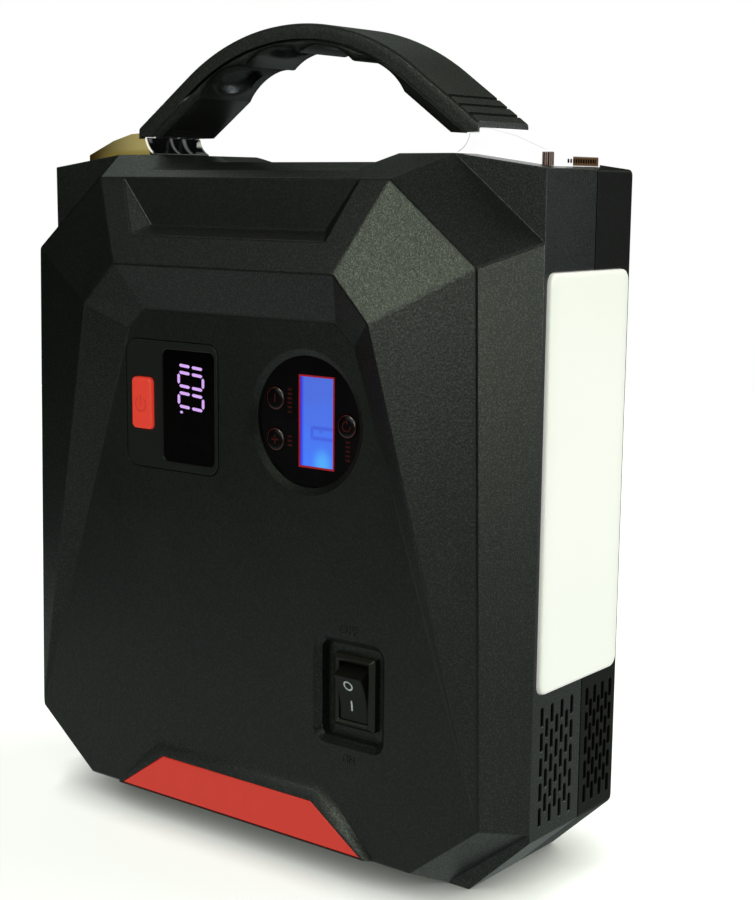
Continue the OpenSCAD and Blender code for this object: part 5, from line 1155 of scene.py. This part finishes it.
# ---- side lamp ----
# A milky acrylic lens, proud of the right wall, clipped into a stepped opening across both shells.
# Behind it stand a white reflector box and an aluminium board with the lamp's LEDs.
milky, link = new_material("milky_acrylic")
_, z, y = place_of(link)
swirl = link.noise(35.0, 3.0)
pearl = grain(link, 0.0009)
# The lens glows with a painted glow standing in for studio light in the milky acrylic, not light from the lamp's LEDs;
# it is painted darker towards its rim and away from its middle height as painted shade.
rim = ((y - core_mid_y).size() - 15.5).ease(0.0, 4.5)
tone = swirl.blend((0.76, 0.78, 0.70), (0.81, 0.83, 0.75))
fall = ((z - 118).size() / 60).ease(0.2, 1.0)
glow_tone = (rim * 0.5 + fall * 0.25).blend((0.96, 0.87, 0.92), (0.60, 0.60, 0.55))
close_material(link, Base_Color=tone, Roughness=0.28 + pearl * 0.05, Emission_Color=glow_tone, Emission_Strength=0.42,
    Coat_Weight=0.2, Normal=link.relief(pearl, 0.00001))
lamp_rim = [(1.6, 0), (0.9, 0.0), (0.42, 0.12), (0.12, 0.35), (0.0, 0.75), (0.0, 2.5)]
lamp_rows = [(40.1 - 2 * i, 111.8 - 2 * i, 3 - i * 0.6, 92.7 - d) for i, d in lamp_rim]
lamp_rows += [(35.7, 107.4, 2, 90.2), (35.7, 107.4, 2, 89.2)]
lens = mesh_piece("lamp_lens_moulding", *lofted(lamp_rows, core_mid_y, lamp_z, "x"))
carve(lens, prism(rounded(32.1, 103.8, 2, core_mid_y, lamp_z), 88, 91, "x"))
soften(lens, 40)
lens.data.materials.append(milky)
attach(lens, "housing")
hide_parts("lamp_lens")
dress(metal("machined_aluminium", (0.66, 0.67, 0.68), rough=0.36),
    "lamp_board", "pump_frame", "piston_rod", "pump_cylinder", "cylinder_head")

# ---- battery ----
# Four large cells in blue shrink film stand in two black holders, joined by welded nickel strips.
# A protection board sits by them.
film, link = new_material("cell_film")
crease = link.noise(260.0, 4.0, link.node("ShaderNodeMapping", Vector=link.place(), Scale=(1, 1, 0.2)))
_, z, _ = place_of(link)
cap = (z - 147.2).size().ease(34.2, 34.7)
tone = cap.blend(crease.blend((0.018, 0.075, 0.26), (0.030, 0.11, 0.36)), (0.55, 0.55, 0.53))
close_material(link, Base_Color=tone, Metallic=cap * 0.9, Roughness=0.28 + crease * 0.12,
    Normal=link.relief(crease, 0.00006, 0.6))
dress(film, "battery_cells")
dress(metal("nickel_strip", (0.62, 0.60, 0.55), rough=0.32), "battery_busbars", "usb_sockets")

# ---- pump ----
# A small motor drives a crank gear through its pinion; the crank's rod pushes the piston in a finned cylinder.
# A rubber hose takes the air from the head to the outlet.
dress(metal("motor_can", (0.45, 0.46, 0.47), rough=0.32, along=(14, 1, 1)), "pump_motor", "motor_shaft")
dress(metal("sintered_steel", (0.30, 0.29, 0.27), rough=0.48, size=0.0006, depth=0.03, along=(1, 1, 1)), "crank_gear")
dress(moulded("hose_rubber", (0.012, 0.012, 0.012), rough=0.6, size=0.0005, depth=0.04, wear=0.2, gloss=0.3),
    "outlet_hose")

# ---- ports ----
# On the left wall a black plate holds the jump lead socket, two charging sockets and the inlet and air outlet.
# The jump socket is moulded in blue so that its leads can't be taken for others.
plate = mesh_piece("port_plate_moulding", *softened_plate(36, 62, 3, -92.7, -90.2, 0.35, core_mid_y, port_z, "x"))
carve(plate, prism(rounded(31.6, 57.6, 2, core_mid_y, port_z), -90.21, -88.6, "x"), joining=True)


def side_hole(w, h, r, cy, cz):
    """A cutter through the port plate with a bevelled rim outside."""
    return lofted([(w + 0.7, h + 0.7, r + 0.3, -92.8), (w, h, r, -92.4), (w, h, r, -86)], cy, cz, "x")


jump_hole, usb_low, usb_high = (25.4, 15.4, 1.5, core_mid_y, 44), (13.5, 6.1, 0.6, 1.35, 65), (13.5, 6.1, 0.6, 1.35, 76)
charge_hole, air_hole = (9.2, 9.2, 4.58, 17.35, 62), (8.52, 8.52, 4.24, 13.95, 82)
carve(plate, *(side_hole(*hole) for hole in (jump_hole, usb_low, usb_high, charge_hole, air_hole)))
soften(plate)
plate.data.materials.append(inset_black)
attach(plate, "housing")
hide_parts("port_plate")
dress(moulded("socket_blue", (0.03, 0.10, 0.36), rough=0.36, size=0.0005, depth=0.02, edge=0.4), "jump_socket")
dress(moulded("jack_black", (0.012, 0.012, 0.013), rough=0.3, size=0.0005, depth=0.01, edge=0.3), "charge_jack")
